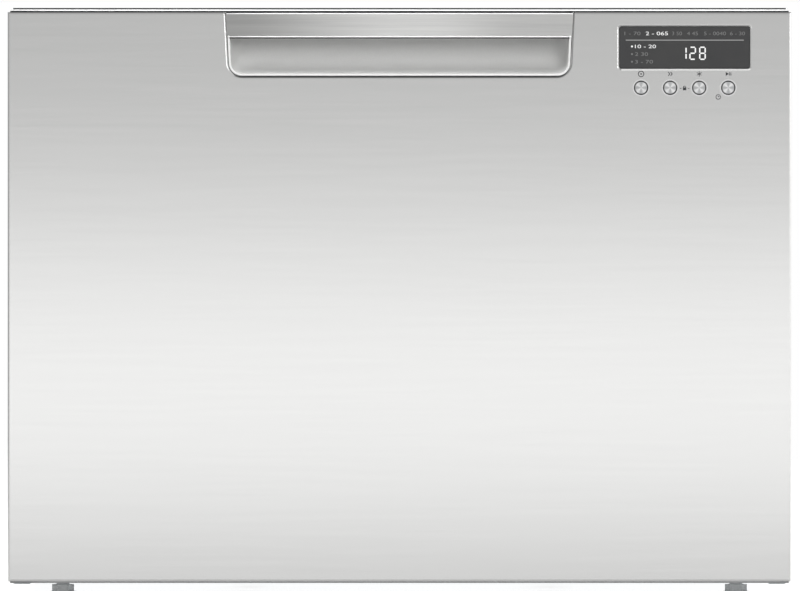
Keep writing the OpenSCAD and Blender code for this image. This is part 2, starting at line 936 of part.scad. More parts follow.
// Removable drain filter: a slotted cup with a twist handle
module drain_filter() {
  h = 19;
  color("#5f6f7a")
    translate([filter_x, tub_y, floor_z - 2.4])
      difference() {
        union() {
          translate([0, 0, -h + 7])
            cylinder(h = h - 3, d = filter_d);
          translate([0, 0, 3 + gap])
            rotate_extrude()
              polygon([[0, 0], [filter_d / 2 + 3, 2], [filter_d / 2 + 3, 4],
                  [filter_d / 2, 5], [0, 5]]);
          translate([0, 0, 7])
            linear_extrude(6)
              round_rect(filter_d - 8, 7, 3.4);
        }
        translate([0, 0, -h])
          difference() {
            cylinder(h = h + 1, d = filter_d - 4);
            translate([0, 0, 5])
              cylinder(h = h, d = 8);
          }
        for (a = [0:30:330])
          rotate(a)
            translate([0, 0, -h + 4 + eps])
              translate([filter_d / 2 - 5, -1, 4])
                cube([8, 2, 5]);
      }
}

arm_z = floor_z + 12;
hub_d = 16;

// Spray arm: two hollow blades on a hub with rows of jets
module spray_arm() {
  color("#6d7478")
    translate([0, tub_y, arm_z]) {
      difference() {
        union() {
          for (side = [0, 180])
            rotate(side)
              hull() {
                linear_extrude(13)
                  scale([1, 0.9])
                    circle(d = 46, $fn = 32);
                translate([arm_r - 17, 6, 2])
                  linear_extrude(8)
                    circle(d = 30, $fn = 32);
              }
          cylinder(h = 17, d = 42);
        }
        for (side = [0, 180], i = [0:5])
          rotate(side)
            translate([50 + i * 25, 1 + i * 1.2, 6])
              cylinder(h = 12, d = 4.5);
        translate([0, 0, -eps])
          cylinder(h = 11, d = hub_d + 2 * fit);
        translate([0, 0, 12])
          cylinder(h = 8, d = 26);
      }
      translate([0, 0, 11])
        cylinder(h = 4, d = 14);
    }
}

// Hollow stub on the filter plate's middle, on which the spray arm turns
module arm_stub() {
  translate([0, tub_y, floor_z - 2.4])
    difference() {
      union() {
        cylinder(h = arm_z - floor_z + 12, d = hub_d);
        cylinder(h = arm_z - floor_z + 2, d = 28);
      }
      translate([0, 0, -eps])
        cylinder(h = 40, d = hub_d - 6);
    }
}

// ---- Front panel, handle and controls ----

// Outline of the handle cut-out, made smaller all round by inset, up to height top
function notch_points(inset, top) =
  let (z0 = panel_top - notch_h + inset, r = max(notch_r - inset, 1),
    wb = notch_bottom_w / 2 - inset,
    wt = wb + (notch_top_w - notch_bottom_w) / 2 * (top - z0) / notch_h)
    concat([[-wt, top]], arc(-wb + r, z0 + r, r, 180, 270), arc(wb - r, z0 + r, r, 270, 360),
       [[wt, top]]);

module notch_2d(inset, top) {
  polygon(notch_points(inset, top));
}

// Panel outline seen along an edge, with its two front edges rounded
module folded_outline(w, y0, y1, r) {
  polygon(concat([[w / 2, y1], [-w / 2, y1]], arc(-w / 2 + r, y0 + r, r, 180, 270, 6),
         arc(w / 2 - r, y0 + r, r, 270, 360, 6)));
}

// Box with all four front edges rounded, drawn in from the panel's outline
module panel_block(inset, y1) {
  r = bend_r - inset;
  y0 = front_y + inset;
  intersection() {
    translate([0, 0, panel_bottom + inset])
      linear_extrude(panel_h - 2 * inset)
        folded_outline(panel_w - 2 * inset, y0, y1, r);
    translate([0, 0, (panel_top + panel_bottom) / 2])
      rotate([0, 90, 0])
        translate([0, 0, -panel_w])
          linear_extrude(2 * panel_w)
            folded_outline(panel_h - 2 * inset, y0, y1, r);
  }
}

lens_z = panel_top - lens_drop;
button_z = panel_top - button_drop;
guide_w = lens_w + 22;
guide_z0 = button_z - 12;
guide_z1 = panel_top - 4;

module at_buttons() {
  for (i = [-1.5:1.5])
    translate([lens_x + i * button_pitch, 0, button_z])
      rotate([-90, 0, 0])
        children();
}

// Stainless steel skin, folded back at all four edges and again behind
module front_skin() {
  lip = 9;
  color("#d9dbdc")
    difference() {
      panel_block(0, panel_back);
      panel_block(skin_t, panel_back - skin_t);
      translate([0, 0, (panel_top + panel_bottom) / 2])
        along_y(panel_back - 3, 6)
          square([panel_w - 2 * lip, panel_h - 2 * lip], center = true);
      along_y(front_y - eps, panel_t + 2 * eps)
        notch_2d(0, panel_top + 2);
      translate([lens_x, 0, lens_z])
        along_y(front_y - eps, 3)
          round_rect(lens_w + 2 * gap, lens_h + 2 * gap, lens_r + gap);
      translate([0, front_y - eps, 0])
        at_buttons()
          cylinder(h = 3, d = button_d + 1);
    }
}

// Brushed pull bar: a channel with a flat face, closed off behind by the pocket
module handle_bar() {
  z1 = panel_top - gap;
  z0 = z1 - bar_h;
  y0 = front_y + gap;
  color("#c3c6c8")
    intersection() {
      along_x(-panel_w / 2, panel_w)
        polygon(concat(arc(y0 + 1.2, z0 + 1.2, 1.2, 270, 180, 4),
               arc(y0 + 1.2, z1 - 1.2, 1.2, 180, 90, 4),
               [[panel_back, z1], [panel_back, z1 - 2],
                [y0 + bar_t, z1 - 2], [y0 + bar_t, z0 + 3],
                [y0 + bar_t + 3, z0 + 2], [y0 + bar_t + 3, z0]]));
      along_y(front_y - eps, panel_t + 2)
        notch_2d(gap, panel_top + 1);
    }
}

pocket_back = front_y + pocket_d + pocket_wall;
pocket_top = panel_top - 5.5;

// Finger pocket: a scooped moulding with a rim that frames the cut-out
module handle_pocket() {
  z0 = panel_top - notch_h;
  bar_z0 = panel_top - gap - bar_h;
  color("#cfd2d4")
    difference() {
      union() {
        hull() {
          along_y(front_y + gap, 6)
            notch_2d(gap, pocket_top);
          along_y(pocket_back - 1, 1)
            notch_2d(9, pocket_top);
        }
        for (x = [-1, 1])
          translate([x * (notch_bottom_w / 2 - 26) - 8, front_y + 12, z0 - 6])
            cube([16, 3, 14]);
      }
      hull() {
        along_y(front_y - eps, 1)
          notch_2d(pocket_rim - 0.6, pocket_top - pocket_wall);
        along_y(front_y + 5, 0.1)
          notch_2d(pocket_rim + 0.8, pocket_top - pocket_wall);
        along_y(front_y + pocket_d * 0.62, 0.1)
          notch_2d(pocket_rim + 3.4, pocket_top - pocket_wall);
        along_y(front_y + pocket_d - 0.1, 0.1)
          notch_2d(pocket_rim + 13, pocket_top - pocket_wall);
      }
      translate([-panel_w / 2, front_y - eps, bar_z0 - gap])
        cube([panel_w, bar_t + 2 * gap + eps + 3.2, 60]);
      translate([-panel_w / 2, front_y - eps, pocket_top])
        cube([panel_w, panel_t + 1, 20]);
    }
}

// Dark window of the display, with a bevelled edge
module display_lens() {
  color("#484848")
    translate([lens_x, 0, lens_z])
      union() {
        along_y(front_y + 0.7, lens_t - 0.7)
          round_rect(lens_w, lens_h, lens_r);
        along_y(front_y + 0.1, 0.7)
          round_rect(lens_w - 1.2, lens_h - 1.2, lens_r - 0.6);
      }
}

guide_y = front_y + skin_t;
guide_t = 9;
board_y = front_y + 15;
board_t = 1.6;

// Moulding behind the skin that holds the display window and guides the buttons
module button_guide() {
  h = guide_z1 - guide_z0;
  color("#3f4244")
    difference() {
      union() {
        translate([lens_x, 0, (guide_z0 + guide_z1) / 2])
          along_y(guide_y, guide_t)
            difference() {
              round_rect(guide_w, h, 4);
              translate([0, lens_z - (guide_z0 + guide_z1) / 2])
                round_rect(lens_w - 6, lens_h - 6, 2);
            }
        for (x = [-1, 1], z = [guide_z0 + 5, guide_z1 - 5])
          translate([lens_x + x * (guide_w / 2 - 4), guide_y, z])
            rotate([-90, 0, 0])
              cylinder(h = board_y - guide_y, d = 6);
      }
      translate([lens_x, 0, lens_z])
        along_y(front_y - eps, eps + lens_t)
          round_rect(lens_w + gap, lens_h + gap, lens_r);
      at_buttons()
        translate([0, 0, front_y - eps])
          cylinder(h = eps + 3.4 + button_travel + gap, d = button_d + 0.6);
      at_buttons()
        translate([0, 0, front_y])
          cylinder(h = guide_t + 4, d = button_stem_d + 2 * fit);
    }
}

// One button: a round cap, a guided stem and the collar that retains it
module button(i) {
  collar_y = guide_y + guide_t + gap;
  color("#d0d3d5")
    translate([lens_x + (i - 1.5) * button_pitch, 0, button_z])
      rotate([-90, 0, 0])
        difference() {
          union() {
            translate([0, 0, front_y])
              rotate_extrude()
                polygon([[0, 0], [button_d / 2 - 0.5, 0], [button_d / 2, 0.5],
                    [button_d / 2, 3.4], [0, 3.4]]);
            translate([0, 0, front_y + 3])
              cylinder(h = collar_y - front_y - 3, d = button_stem_d);
            translate([0, 0, collar_y])
              cylinder(h = 1.6, d = button_stem_d + 2.4);
          }
          translate([0, 0, collar_y + 1])
            cylinder(h = 2, d = 3);
        }
}

// Circuit board behind the controls, with its display block, switches and plug
module control_board() {
  h = guide_z1 - guide_z0 - 2;
  z = (guide_z0 + guide_z1) / 2;
  collar_end = guide_y + guide_t + gap + 1.6;
  color("#2f5d43")
    union() {
      translate([lens_x, 0, z])
        along_y(board_y, board_t)
          round_rect(guide_w - 2, h, 2);
      translate([lens_x - lens_w / 2 + 8, front_y + lens_t + 1, lens_z - lens_h / 2 + 5])
        cube([lens_w - 16, board_y - front_y - lens_t - 0.9, lens_h - 10]);
      at_buttons()
        translate([0, 0, collar_end + button_travel + gap])
          cylinder(h = board_y - collar_end - button_travel - gap + 0.1, d = 3.4);
    }
}

// Moulded frame that stiffens the skin and joins it to the tub
module front_frame() {
  y1 = panel_back - skin_t;
  w = panel_w - 2 * skin_t - 1;
  h = panel_h - 2 * skin_t - 1;
  zm = (panel_top + panel_bottom) / 2;
  color("#7d8285")
    difference() {
      union() {
        translate([0, 0, zm])
          along_y(y1 - 2.4, 2.4)
            square([w, h], center = true);
        translate([0, 0, zm])
          along_y(front_y + bend_r + 0.4, panel_t - skin_t - bend_r - 1)
            difference() {
              square([w, h], center = true);
              for (x = [-2.5:2.5], z = [-1.5:1.5])
                translate([x * w / 6, z * h / 4])
                  square([w / 6 - 3, h / 4 - 3], center = true);
            }
        for (x = [-1, 1], z = boss_z)
          translate([x * boss_x, y1 - 3, z])
            rotate([-90, 0, 0])
              cylinder(h = boss_y - y1 + 3, d = boss_d);
      }
      along_y(front_y, panel_t + 5)
        notch_2d(-3, panel_top + 3);
      translate([0, front_y + 10, 0])
        along_y(0, 6)
          translate([-notch_bottom_w / 2 + 10, panel_top - notch_h - 10])
            square([notch_bottom_w - 20, 10]);
      translate([lens_x, 0, (guide_z0 + guide_z1) / 2])
        along_y(front_y, board_y + board_t + gap - front_y)
          square([guide_w + 1, guide_z1 - guide_z0 + 1], center = true);
      for (x = [-1, 1], z = boss_z)
        translate([x * boss_x, front_y, z])
          rotate([-90, 0, 0])
            cylinder(h = 60, d = 4.2);
      for (x = [-1, 1], z = boss_z)
        translate([x * boss_x, front_y, z])
          rotate([-90, 0, 0])
            cylinder(h = boss_y - front_y - 6, d = 10);
    }
}

// ---- Rack and what stands in it ----

rack_z = floor_z + 38;
rack_x = rack_w / 2;
rack_y0 = tub_y - rack_d / 2;
rack_y1 = tub_y + rack_d / 2;
// Numbers of gaps between the rack's wires, across and from front to back
rack_nx = 12;
rack_ny = 10;
shelf_z = rack_z + rack_h - 34;

// A straight wire with eight flats from one point to another
module wire(a, b, d = wire_d) {
  v = b - a;
  translate(a)
    rotate([0, acos(v[2] / norm(v)), atan2(v[1], v[0])])
      cylinder(h = norm(v), d = d, $fn = 8);
}

// Closed frame of square wire
module rack_ring(w, d, z) {
  translate([0, tub_y, z - wire_d / 2])
    linear_extrude(wire_d)
      difference() {
        round_rect(w + wire_d, d + wire_d, 16);
        round_rect(w - wire_d, d - wire_d, 16 - wire_d);
      }
}

// How far the rack's walls lean in over their height
rack_lean = 5;
// Places of the wires across the rack and from front to back
rack_wire_x = [for (i = [1:rack_nx - 1])
  -rack_x + rack_lean + i * (rack_w - 2 * rack_lean) / rack_nx];
rack_wire_y = [for (i = [1:rack_ny - 1])
  rack_y0 + rack_lean + i * (rack_d - 2 * rack_lean) / rack_ny];

// Walls of the wire rack: upright wires welded to three frames, with four feet
module rack() {
  zt = rack_z + rack_h;
  foot_x = rack_x - 26;
  foot_y = rack_d / 2 - 26;
  color("#8d9296") {
    rack_ring(rack_w, rack_d, zt);
    rack_ring(rack_w - rack_lean, rack_d - rack_lean, rack_z + rack_h / 2);
    rack_ring(rack_w - 2 * rack_lean, rack_d - 2 * rack_lean, rack_z + 1);
    for (x = rack_wire_x) {
      wire([x, rack_y0 + rack_lean, rack_z], [x, rack_y0, zt]);
      wire([x, rack_y1 - rack_lean, rack_z], [x, rack_y1, zt]);
    }
    for (y = rack_wire_y, side = [-1, 1])
      wire([side * (rack_x - rack_lean), y, rack_z], [side * rack_x, y, zt]);
    for (y = [-1, 1], side = [-1, 1])
      to_side(side) {
        translate([foot_x, tub_y + y * foot_y, floor_z + gap])
          cylinder(h = rack_z - floor_z, d1 = 12, d2 = 8, $fn = 12);
        translate([foot_x - 9, tub_y + y * foot_y - 3, rack_z - 1])
          cube([32, 6, 3]);
      }
    shelf_rods();
  }
}

// Floor mat of the rack: two layers of crossed wires, welded inside the lowest frame
module rack_floor() {
  z2 = rack_z + wire_d / 2 + 1.5;
  inset = rack_lean + wire_d / 2;
  color("#8d9296") {
    for (x = rack_wire_x)
      wire([x, rack_y0 + inset, rack_z], [x, rack_y1 - inset, rack_z]);
    for (y = rack_wire_y)
      wire([-rack_x + inset, y, z2], [rack_x - inset, y, z2]);
    for (y = tine_row_y, x = [tine_x0 - 10, tine_x0 + (tine_count - 1) * tine_pitch + 5])
      tine_clip(x, y);
  }
}

// Clip on the rack's floor in which a tine row's rod turns
module tine_clip(x, y) {
  z = rack_z + 1.5;
  reach = (rack_d - 10) / rack_ny / 2 + 2;
  difference() {
    union() {
      translate([x, y - reach, z])
        cube([5, 2 * reach, wire_d]);
      translate([x, y - 4.5, z])
        cube([5, 9, tine_z - z + wire_d / 2 + 2]);
    }
    translate([x - eps, y, tine_z])
      rotate([0, 90, 0])
        cylinder(h = 6, d = wire_d + 2 * fit);
  }
}

tine_z = rack_z + wire_d + 1.5 + wire_d / 2 + gap;
tine_pitch = 28;
tine_row_y = [tub_y - 30, tub_y + 95];
tine_x0 = -120;

// Folding row of plate tines on a rod that turns in two clips
module tine_row(y) {
  len = (tine_count - 1) * tine_pitch;
  color("#70767a") {
    translate([tine_x0 - 12, y, tine_z])
      rotate([0, 90, 0])
        cylinder(h = len + 24, d = wire_d);
    for (i = [0:tine_count - 1]) {
      x = tine_x0 + i * tine_pitch;
      wire([x, y, tine_z], [x, y + 2, tine_z + tine_h]);
      translate([x, y + 2, tine_z + tine_h])
        sphere(d = wire_d + 1, $fn = 16);
    }
  }
}

shelf_w = 62;
shelf_l = 250;
shelf_y = rack_y1 - 153;
shelf_hinge_x = rack_x - 10;

// Slotted cup shelf on a rod along the rack's side
module cup_shelf(side) {
  color("#b6babd")
    to_side(side)
      difference() {
        union() {
          translate([shelf_hinge_x - shelf_w / 2, shelf_y, shelf_z - 2])
            linear_extrude(3)
              round_rect(shelf_w - 4, shelf_l, 10);
          translate([shelf_hinge_x - shelf_w / 2, shelf_y, shelf_z - 2])
            linear_extrude(9)
              difference() {
                round_rect(shelf_w - 4, shelf_l, 10);
                round_rect(shelf_w - 9, shelf_l - 5, 7.5);
              }
          translate([shelf_hinge_x - 1, shelf_y + shelf_l / 2 - 6, shelf_z])
            rotate([90, 0, 0])
              cylinder(h = shelf_l - 12, d = 8);
        }
        for (i = [0:7], j = [0, 1])
          translate([shelf_hinge_x - shelf_w / 2 + 11 - j * 23,
               shelf_y - 98 + i * 28, shelf_z - 5])
            linear_extrude(12)
              round_rect(17, 20, 4);
        translate([shelf_hinge_x - 1, shelf_y + shelf_l, shelf_z])
          rotate([90, 0, 0])
            cylinder(h = 2 * shelf_l, d = 4 + 2 * fit);
      }
}

// Rods on the rack that carry the cup shelves
module shelf_rods() {
  for (side = [-1, 1])
    to_side(side) {
      translate([shelf_hinge_x - 1, shelf_y + shelf_l / 2 + 8, shelf_z])
        rotate([90, 0, 0])
          cylinder(h = shelf_l + 16, d = 4);
      for (y = [-1, 1])
        translate([shelf_hinge_x - 3.5, shelf_y + y * (shelf_l / 2 + 5) - 2.5,
             shelf_z - 3]) {
          cube([11, 5, 6]);
          translate([8, 0, 0])
            cube([3, 5, rack_z + rack_h - shelf_z + 4]);
          translate([8, 0, rack_z + rack_h - shelf_z + 2])
            cube([6, 5, 3]);
        }
    }
}

cutlery_w = 200;
cutlery_d = 66;
cutlery_x = -20;
cutlery_y = rack_y0 + 14 + cutlery_d / 2;
cutlery_z = rack_z + wire_d + 1.5 + gap;
cutlery_cells = 3;

// Cutlery basket: three latticed compartments and an arched grip
module cutlery_basket() {
  wall = 2.2;
  cell = (cutlery_w - wall) / cutlery_cells;
  color("#9aa0a4")
    translate([cutlery_x, cutlery_y, cutlery_z])
      difference() {
        union() {
          linear_extrude(cutlery_h)
            round_rect(cutlery_w, cutlery_d, 9);
          translate([0, 0, cutlery_h - 5])
            linear_extrude(5)
              round_rect(cutlery_w + 4, cutlery_d + 4, 11);
        }
        for (i = [0:cutlery_cells - 1])
          translate([-cutlery_w / 2 + wall + i * cell + (cell - wall) / 2, 0, 3])
            linear_extrude(cutlery_h)
              round_rect(cell - wall, cutlery_d - 2 * wall, 7);
        for (i = [0:8], k = [0:2])
          translate([-84 + i * 21, cutlery_d, 16 + k * 26])
            rotate([90, 0, 0])
              linear_extrude(2 * cutlery_d)
                round_rect(13, 20, 3);
      }
}

// Detergent and rinse aid dispenser in the tub's front wall
cup_x = dispenser_x - 34;
cap_x = dispenser_x + 42;
flange_y = tub_front + 3.4;
door_hinge_z = dispenser_z - 30;
door_hinge_y = flange_y + 4 + 5;
door_w = 66;
door_h = 64;

module dispenser() {
  color("#cdd0d2")
    difference() {
      union() {
        translate([dispenser_x, 0, dispenser_z])
          along_y(flange_y, 4)
            round_rect(dispenser_w + 10, dispenser_h + 8, 12);
        translate([dispenser_x, 0, dispenser_z])
          along_y(flange_y - 24, 25)
            round_rect(dispenser_w - 2 * gap - 1, dispenser_h - 2 * gap - 1, 8);
        for (x = [-1, 1])
          translate([cup_x + x * (door_w / 2 + 4) - 2, flange_y + 3,
               door_hinge_z - 4.5])
            cube([4, 10, 9]);
        translate([cup_x - door_w / 2 - 4, door_hinge_y, door_hinge_z])
          rotate([0, 90, 0])
            cylinder(h = door_w + 8, d = 3);
      }
      translate([cup_x, 0, dispenser_z + 5])
        along_y(flange_y - 20, 30)
          round_rect(door_w - 10, 48, 8);
      translate([cap_x, flange_y - 12, dispenser_z])
        rotate([-90, 0, 0])
          cylinder(h = 20, d = 24 + 2 * fit);
    }
}

// Spring-latched door of the detergent cup, hinged at its lower edge
module dispenser_door() {
  color("#a9aeb1")
    difference() {
      union() {
        translate([cup_x, 0, door_hinge_z + 3 + door_h / 2])
          along_y(flange_y + 4 + gap, 4)
            round_rect(door_w, door_h, 9);
        translate([cup_x - door_w / 2 + 4, door_hinge_y, door_hinge_z])
          rotate([0, 90, 0])
            cylinder(h = door_w - 8, d = 7);
        translate([cup_x - door_w / 2 + 6, flange_y + 5 + gap, door_hinge_z])
          cube([door_w - 12, 3, 14]);
        translate([cup_x - 12, flange_y + 7, door_hinge_z + door_h - 10])
          cube([24, 5, 4]);
      }
      translate([cup_x - door_w, door_hinge_y, door_hinge_z])
        rotate([0, 90, 0])
          cylinder(h = 2 * door_w, d = 3 + 2 * fit);
    }
}

// Rinse aid cap with a bar to turn it by
module rinse_cap() {
  color("#5a6166")
    translate([cap_x, 0, dispenser_z])
      difference() {
        union() {
          translate([0, flange_y - 10, 0])
            rotate([-90, 0, 0])
              cylinder(h = 16, d = 24);
          translate([0, flange_y + 4 + gap, 0])
            rotate([-90, 0, 0])
              rotate_extrude()
                polygon([[0, 0], [19, 0], [19, 2.5], [17.5, 4], [0, 4]]);
          along_y(flange_y + 7, 6)
            round_rect(30, 6, 2.9);
        }
        translate([0, flange_y - 12, 0])
          rotate([-90, 0, 0])
            cylinder(h = 10, d = 19);
      }
}

// ---- Drying fan behind the front panel ----

fan_x = dispenser_x - 160;
fan_z = floor_z + 120;
fan_r = 42;
fan_y0 = panel_back - skin_t + 0.01;
fan_t = 20;

// Spiral housing with an inlet towards the tub and a duct that leads upwards
module fan_housing() {
  color("#33373a")
    translate([fan_x, 0, fan_z])
      difference() {
        along_y(fan_y0, fan_t)
          union() {
            polygon([for (a = [0:7.5:360])
                  [(fan_r + 4 + a / 36) * cos(a), (fan_r + 4 + a / 36) * sin(a)]]);
            translate([fan_r - 20, 0])
              square([34, 74]);
          }
        along_y(fan_y0 + 2, fan_t - 4)
          union() {
            polygon([for (a = [0:7.5:360])
                  [(fan_r + 2 + a / 36) * cos(a), (fan_r + 2 + a / 36) * sin(a)]]);
            translate([fan_r - 18, 0])
              square([30, 76]);
          }
        translate([0, fan_y0 + fan_t - 4, 0])
          rotate([-90, 0, 0])
            cylinder(h = 8, d = 52);
        translate([0, fan_y0 - eps, 0])
          rotate([-90, 0, 0])
            cylinder(h = 4, d = 4 + 2 * fit);
      }
}

// Fan wheel: a disc with a ring of curved blades on a short shaft
module fan_wheel() {
  y = fan_y0 + 2 + gap;
  color("#4a4f52")
    translate([fan_x, y, fan_z])
      rotate([-90, 0, 0])
        union() {
          cylinder(h = 1.6, d = 2 * fan_r - 6);
          cylinder(h = 11, d1 = 26, d2 = 12);
          translate([0, 0, -2])
            cylinder(h = 4, d = 4);
          linear_extrude(13.5)
            for (a = [0:15:359])
              rotate(a)
                translate([fan_r - 11, 0])
                  rotate(35)
                    square([8, 1.2], center = true);
        }
}

// ---- Water and mains connections at the back ----

valve_x = -service_x + 30;
spigot_x = -service_x - 45;
conn_z = service_z;

// Inlet valve with a threaded stub for the fill hose, and its coil
module inlet_valve() {
  color("#e4e6e7")
    translate([valve_x, back_y, conn_z])
      union() {
        translate([0, -18, 0])
          rotate([-90, 0, 0])
            rotate_extrude()
              polygon([[4, 0], [16, 0], [16, 3], [13.2, 3.5], [13.2, 18], [9, 18],
                  [9, 6], [4, 4]]);
        translate([0, -34, 0])
          rotate([-90, 0, 0])
            cylinder(h = 16.2, d = 24);
        translate([-13, -52, -14])
          cube([26, 20, 28]);
        translate([0, -42, 14])
          cylinder(h = 16, d = 20);
        translate([-8, -34, 8])
          cube([16, 12, 27]);
        translate([-20, -22.5, 19])
          cube([40, 22.5 - chassis_t, 16]);
      }
}

// Drain spigot for the waste hose, with a collar, and the bracket that holds it
module drain_spigot() {
  color("#2f3234")
    translate([spigot_x, back_y, conn_z])
      difference() {
        union() {
          translate([0, -46, 0])
            rotate([-90, 0, 0])
              rotate_extrude()
                polygon([[0, 0], [9, 0], [9, 24], [14, 24], [14, 30], [10.5, 30],
                         [10.5, 46], [0, 46]]);
          translate([-8, -32, 0])
            cube([16, 10, 30]);
          translate([-22, -24 - chassis_t, 17])
            cube([36, 24, 19]);
        }
        translate([0, -50, 0])
          rotate([-90, 0, 0])
            cylinder(h = 60, d = 15);
      }
}

// Mains terminal box with a cable gland, and no cable in it
module terminal_box() {
  color("#c8cbcc")
    difference() {
      union() {
        translate([service_x, back_y - 44, service_z])
          along_y(0, 44 - chassis_t)
            round_rect(service_w + 16, service_h + 10, 4);
        translate([service_x + 34, back_y - chassis_t - eps, service_z])
          rotate([-90, 0, 0])
            cylinder(h = chassis_t + eps, d = 24, $fn = 6);
      }
      translate([service_x + 34, back_y - 30, service_z])
        rotate([-90, 0, 0])
          cylinder(h = 40, d = 12);
      for (x = [-1, 1])
        translate([service_x - 24 + x * 26, back_y - 4, service_z])
          rotate([-90, 0, 0])
            cylinder(h = 8, d = 4);
    }
}

// Route of the drain hose, from the spigot round one bend to the pump
hose_d = 18;
hose_z = pump_z + 8;
// Outer and inner leg of the loop under the tub, and the bends that join them
hose_out = 3 - tub_w / 2;
hose_in = pump_x - 52;
loop_x = (hose_out + hose_in) / 2;
loop_r = (hose_in - hose_out) / 2;
loop_y = tub_y - 55;
turn_r = (pump_x - hose_in) / 2;
turn_y = pump_y + 57.5;
// Length in which the hose leaves the spigot's line for the outer leg
hose_run = 130;
function ease(t) = t * t * (3 - 2 * t);
hose_route = concat(
  [[spigot_x, back_y - 46, conn_z]],
  [for (t = [0:0.125:1]) [spigot_x + (hose_out - spigot_x) * ease(t),
                          back_y - 61.5 - t * hose_run, conn_z + (hose_z - conn_z) * ease(t)]],
  [for (a = [180:22.5:360]) [loop_x + loop_r * cos(a), loop_y + loop_r * sin(a), hose_z]],
  [for (t = [0, 0.5, 1]) [hose_in, turn_y - 30 * (1 - t), hose_z + 4 * ease(t)]],
  [for (a = [150:-30:0]) [pump_x - turn_r + turn_r * cos(a), turn_y + turn_r * sin(a),
                          hose_z + 4]],
  [[pump_x, pump_y + 50, pump_z + 12]]);

function unit(v) = v / norm(v);

// Tube swept along points: one ring of ten corners square to each point's direction
module tube(route, d) {
  n = len(route);
  sides = 10;
  dir = [for (i = [0:n - 1]) unit(route[min(i + 1, n - 1)] - route[max(i - 1, 0)])];
  side = [for (i = [0:n - 1]) unit(cross([0, 0, 1], dir[i]))];
  up = [for (i = [0:n - 1]) cross(dir[i], side[i])];
  pts = [for (i = [0:n - 1], k = [0:sides - 1])
       route[i] + d / 2 * (cos(k * 360 / sides) * side[i] + sin(k * 360 / sides) * up[i])];
  skin = [for (i = [0:n - 2], k = [0:sides - 1])
        let (a = i * sides + k, b = i * sides + (k + 1) % sides)
          each [[a, a + sides, b], [b, a + sides, b + sides]]];
  ends = [[for (k = [0:sides - 1]) k],
      [for (k = [sides - 1:-1:0]) (n - 1) * sides + k]];
  polyhedron(pts, concat(skin, ends));
}

module drain_hose() {
  color("#a9adb0")
    tube(hose_route, hose_d);
}

chassis_base();
chassis_side(-1);  // chassis_side_left
chassis_side(1);  // chassis_side_right
chassis_back();
top_trim();
front_gasket();
mounting_brackets();
foot(-1, -1);  // foot_front_left
foot(1, -1);  // foot_front_right
foot(-1, 1);  // foot_rear_left
foot(1, 1);  // foot_rear_right
runner_outer(-1);  // runner_outer_left
runner_outer(1);  // runner_outer_right
inlet_valve();
drain_spigot();
terminal_box();
lid_rail(-1);  // lid_rail_left
lid_rail(1);  // lid_rail_right
lid_shell();
lid_seal();
lid_link(-1, link_pivots[0]);  // link_front_left
lid_link(1, link_pivots[0]);  // link_front_right
lid_link(-1, link_pivots[1]);  // link_rear_left
lid_link(1, link_pivots[1]);  // link_rear_right
runner_middle(-1);  // runner_middle_left
runner_middle(1);  // runner_middle_right
runner_inner(-1);  // runner_inner_left
runner_inner(1);  // runner_inner_right
tub();
front_frame();
front_skin();
handle_bar();
handle_pocket();
display_lens();
button_guide();
control_board();
button(0);  // button_power
button(1);  // button_mode
button(2);  // button_star
button(3);  // button_start
wash_motor();
pump_rotor();
drain_pump();
drain_hose();
heater_plate();
filter_plate();
drain_filter();
spray_arm();
rack();
rack_floor();
tine_row(tine_row_y[0]);  // tine_row_front
tine_row(tine_row_y[1]);  // tine_row_rear
cup_shelf(-1);  // cup_shelf_left
cup_shelf(1);  // cup_shelf_right
cutlery_basket();
dispenser();
dispenser_door();
rinse_cap();
fan_housing();
fan_wheel();
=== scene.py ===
"""Drawer dishwasher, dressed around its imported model: finishes, the moulded
finger pocket, the printed marks and the lit display. Metres; the front faces -Y."""
import math

import bmesh
import bpy
import numpy as np
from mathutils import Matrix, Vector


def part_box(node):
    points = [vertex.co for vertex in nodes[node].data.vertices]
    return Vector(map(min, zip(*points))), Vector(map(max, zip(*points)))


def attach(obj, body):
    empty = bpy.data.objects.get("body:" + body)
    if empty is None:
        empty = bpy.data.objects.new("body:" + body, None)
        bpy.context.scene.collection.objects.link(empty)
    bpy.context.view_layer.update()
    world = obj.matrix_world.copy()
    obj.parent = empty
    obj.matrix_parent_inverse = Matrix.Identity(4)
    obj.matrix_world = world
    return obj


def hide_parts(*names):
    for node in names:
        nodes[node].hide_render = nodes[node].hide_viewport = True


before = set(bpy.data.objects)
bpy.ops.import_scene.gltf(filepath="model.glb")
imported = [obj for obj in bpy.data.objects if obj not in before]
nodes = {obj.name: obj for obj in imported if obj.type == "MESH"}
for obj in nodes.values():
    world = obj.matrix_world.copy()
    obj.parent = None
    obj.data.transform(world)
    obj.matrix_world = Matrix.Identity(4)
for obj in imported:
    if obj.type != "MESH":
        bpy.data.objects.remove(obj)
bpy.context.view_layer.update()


# ---- Camera and studio ----
# The photograph looks square at the middle of the front from far away, so the lens is
# long. One of its pixels is 0.764 mm, because the 599 mm front is 784 pixels wide.
MM = 0.001
PX = 0.764 * MM
FRAME_W = 800 * PX
SENSOR_W = 36
CAMERA_FAR = 5.0
CAMERA_X = 0.0004
CAMERA_Z = 0.2333
FACE_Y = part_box("front_skin")[0].y

camera_data = bpy.data.cameras.new("camera")
camera_data.sensor_width = SENSOR_W
camera_data.lens = SENSOR_W * CAMERA_FAR / FRAME_W
camera_data.clip_end = 50
camera = bpy.data.objects.new("camera", camera_data)
camera.location = (CAMERA_X, FACE_Y - CAMERA_FAR, CAMERA_Z)
camera.rotation_euler = (math.radians(90), 0, 0)
bpy.context.scene.collection.objects.link(camera)
bpy.context.scene.camera = camera
bpy.context.scene.view_settings.view_transform = "Standard"


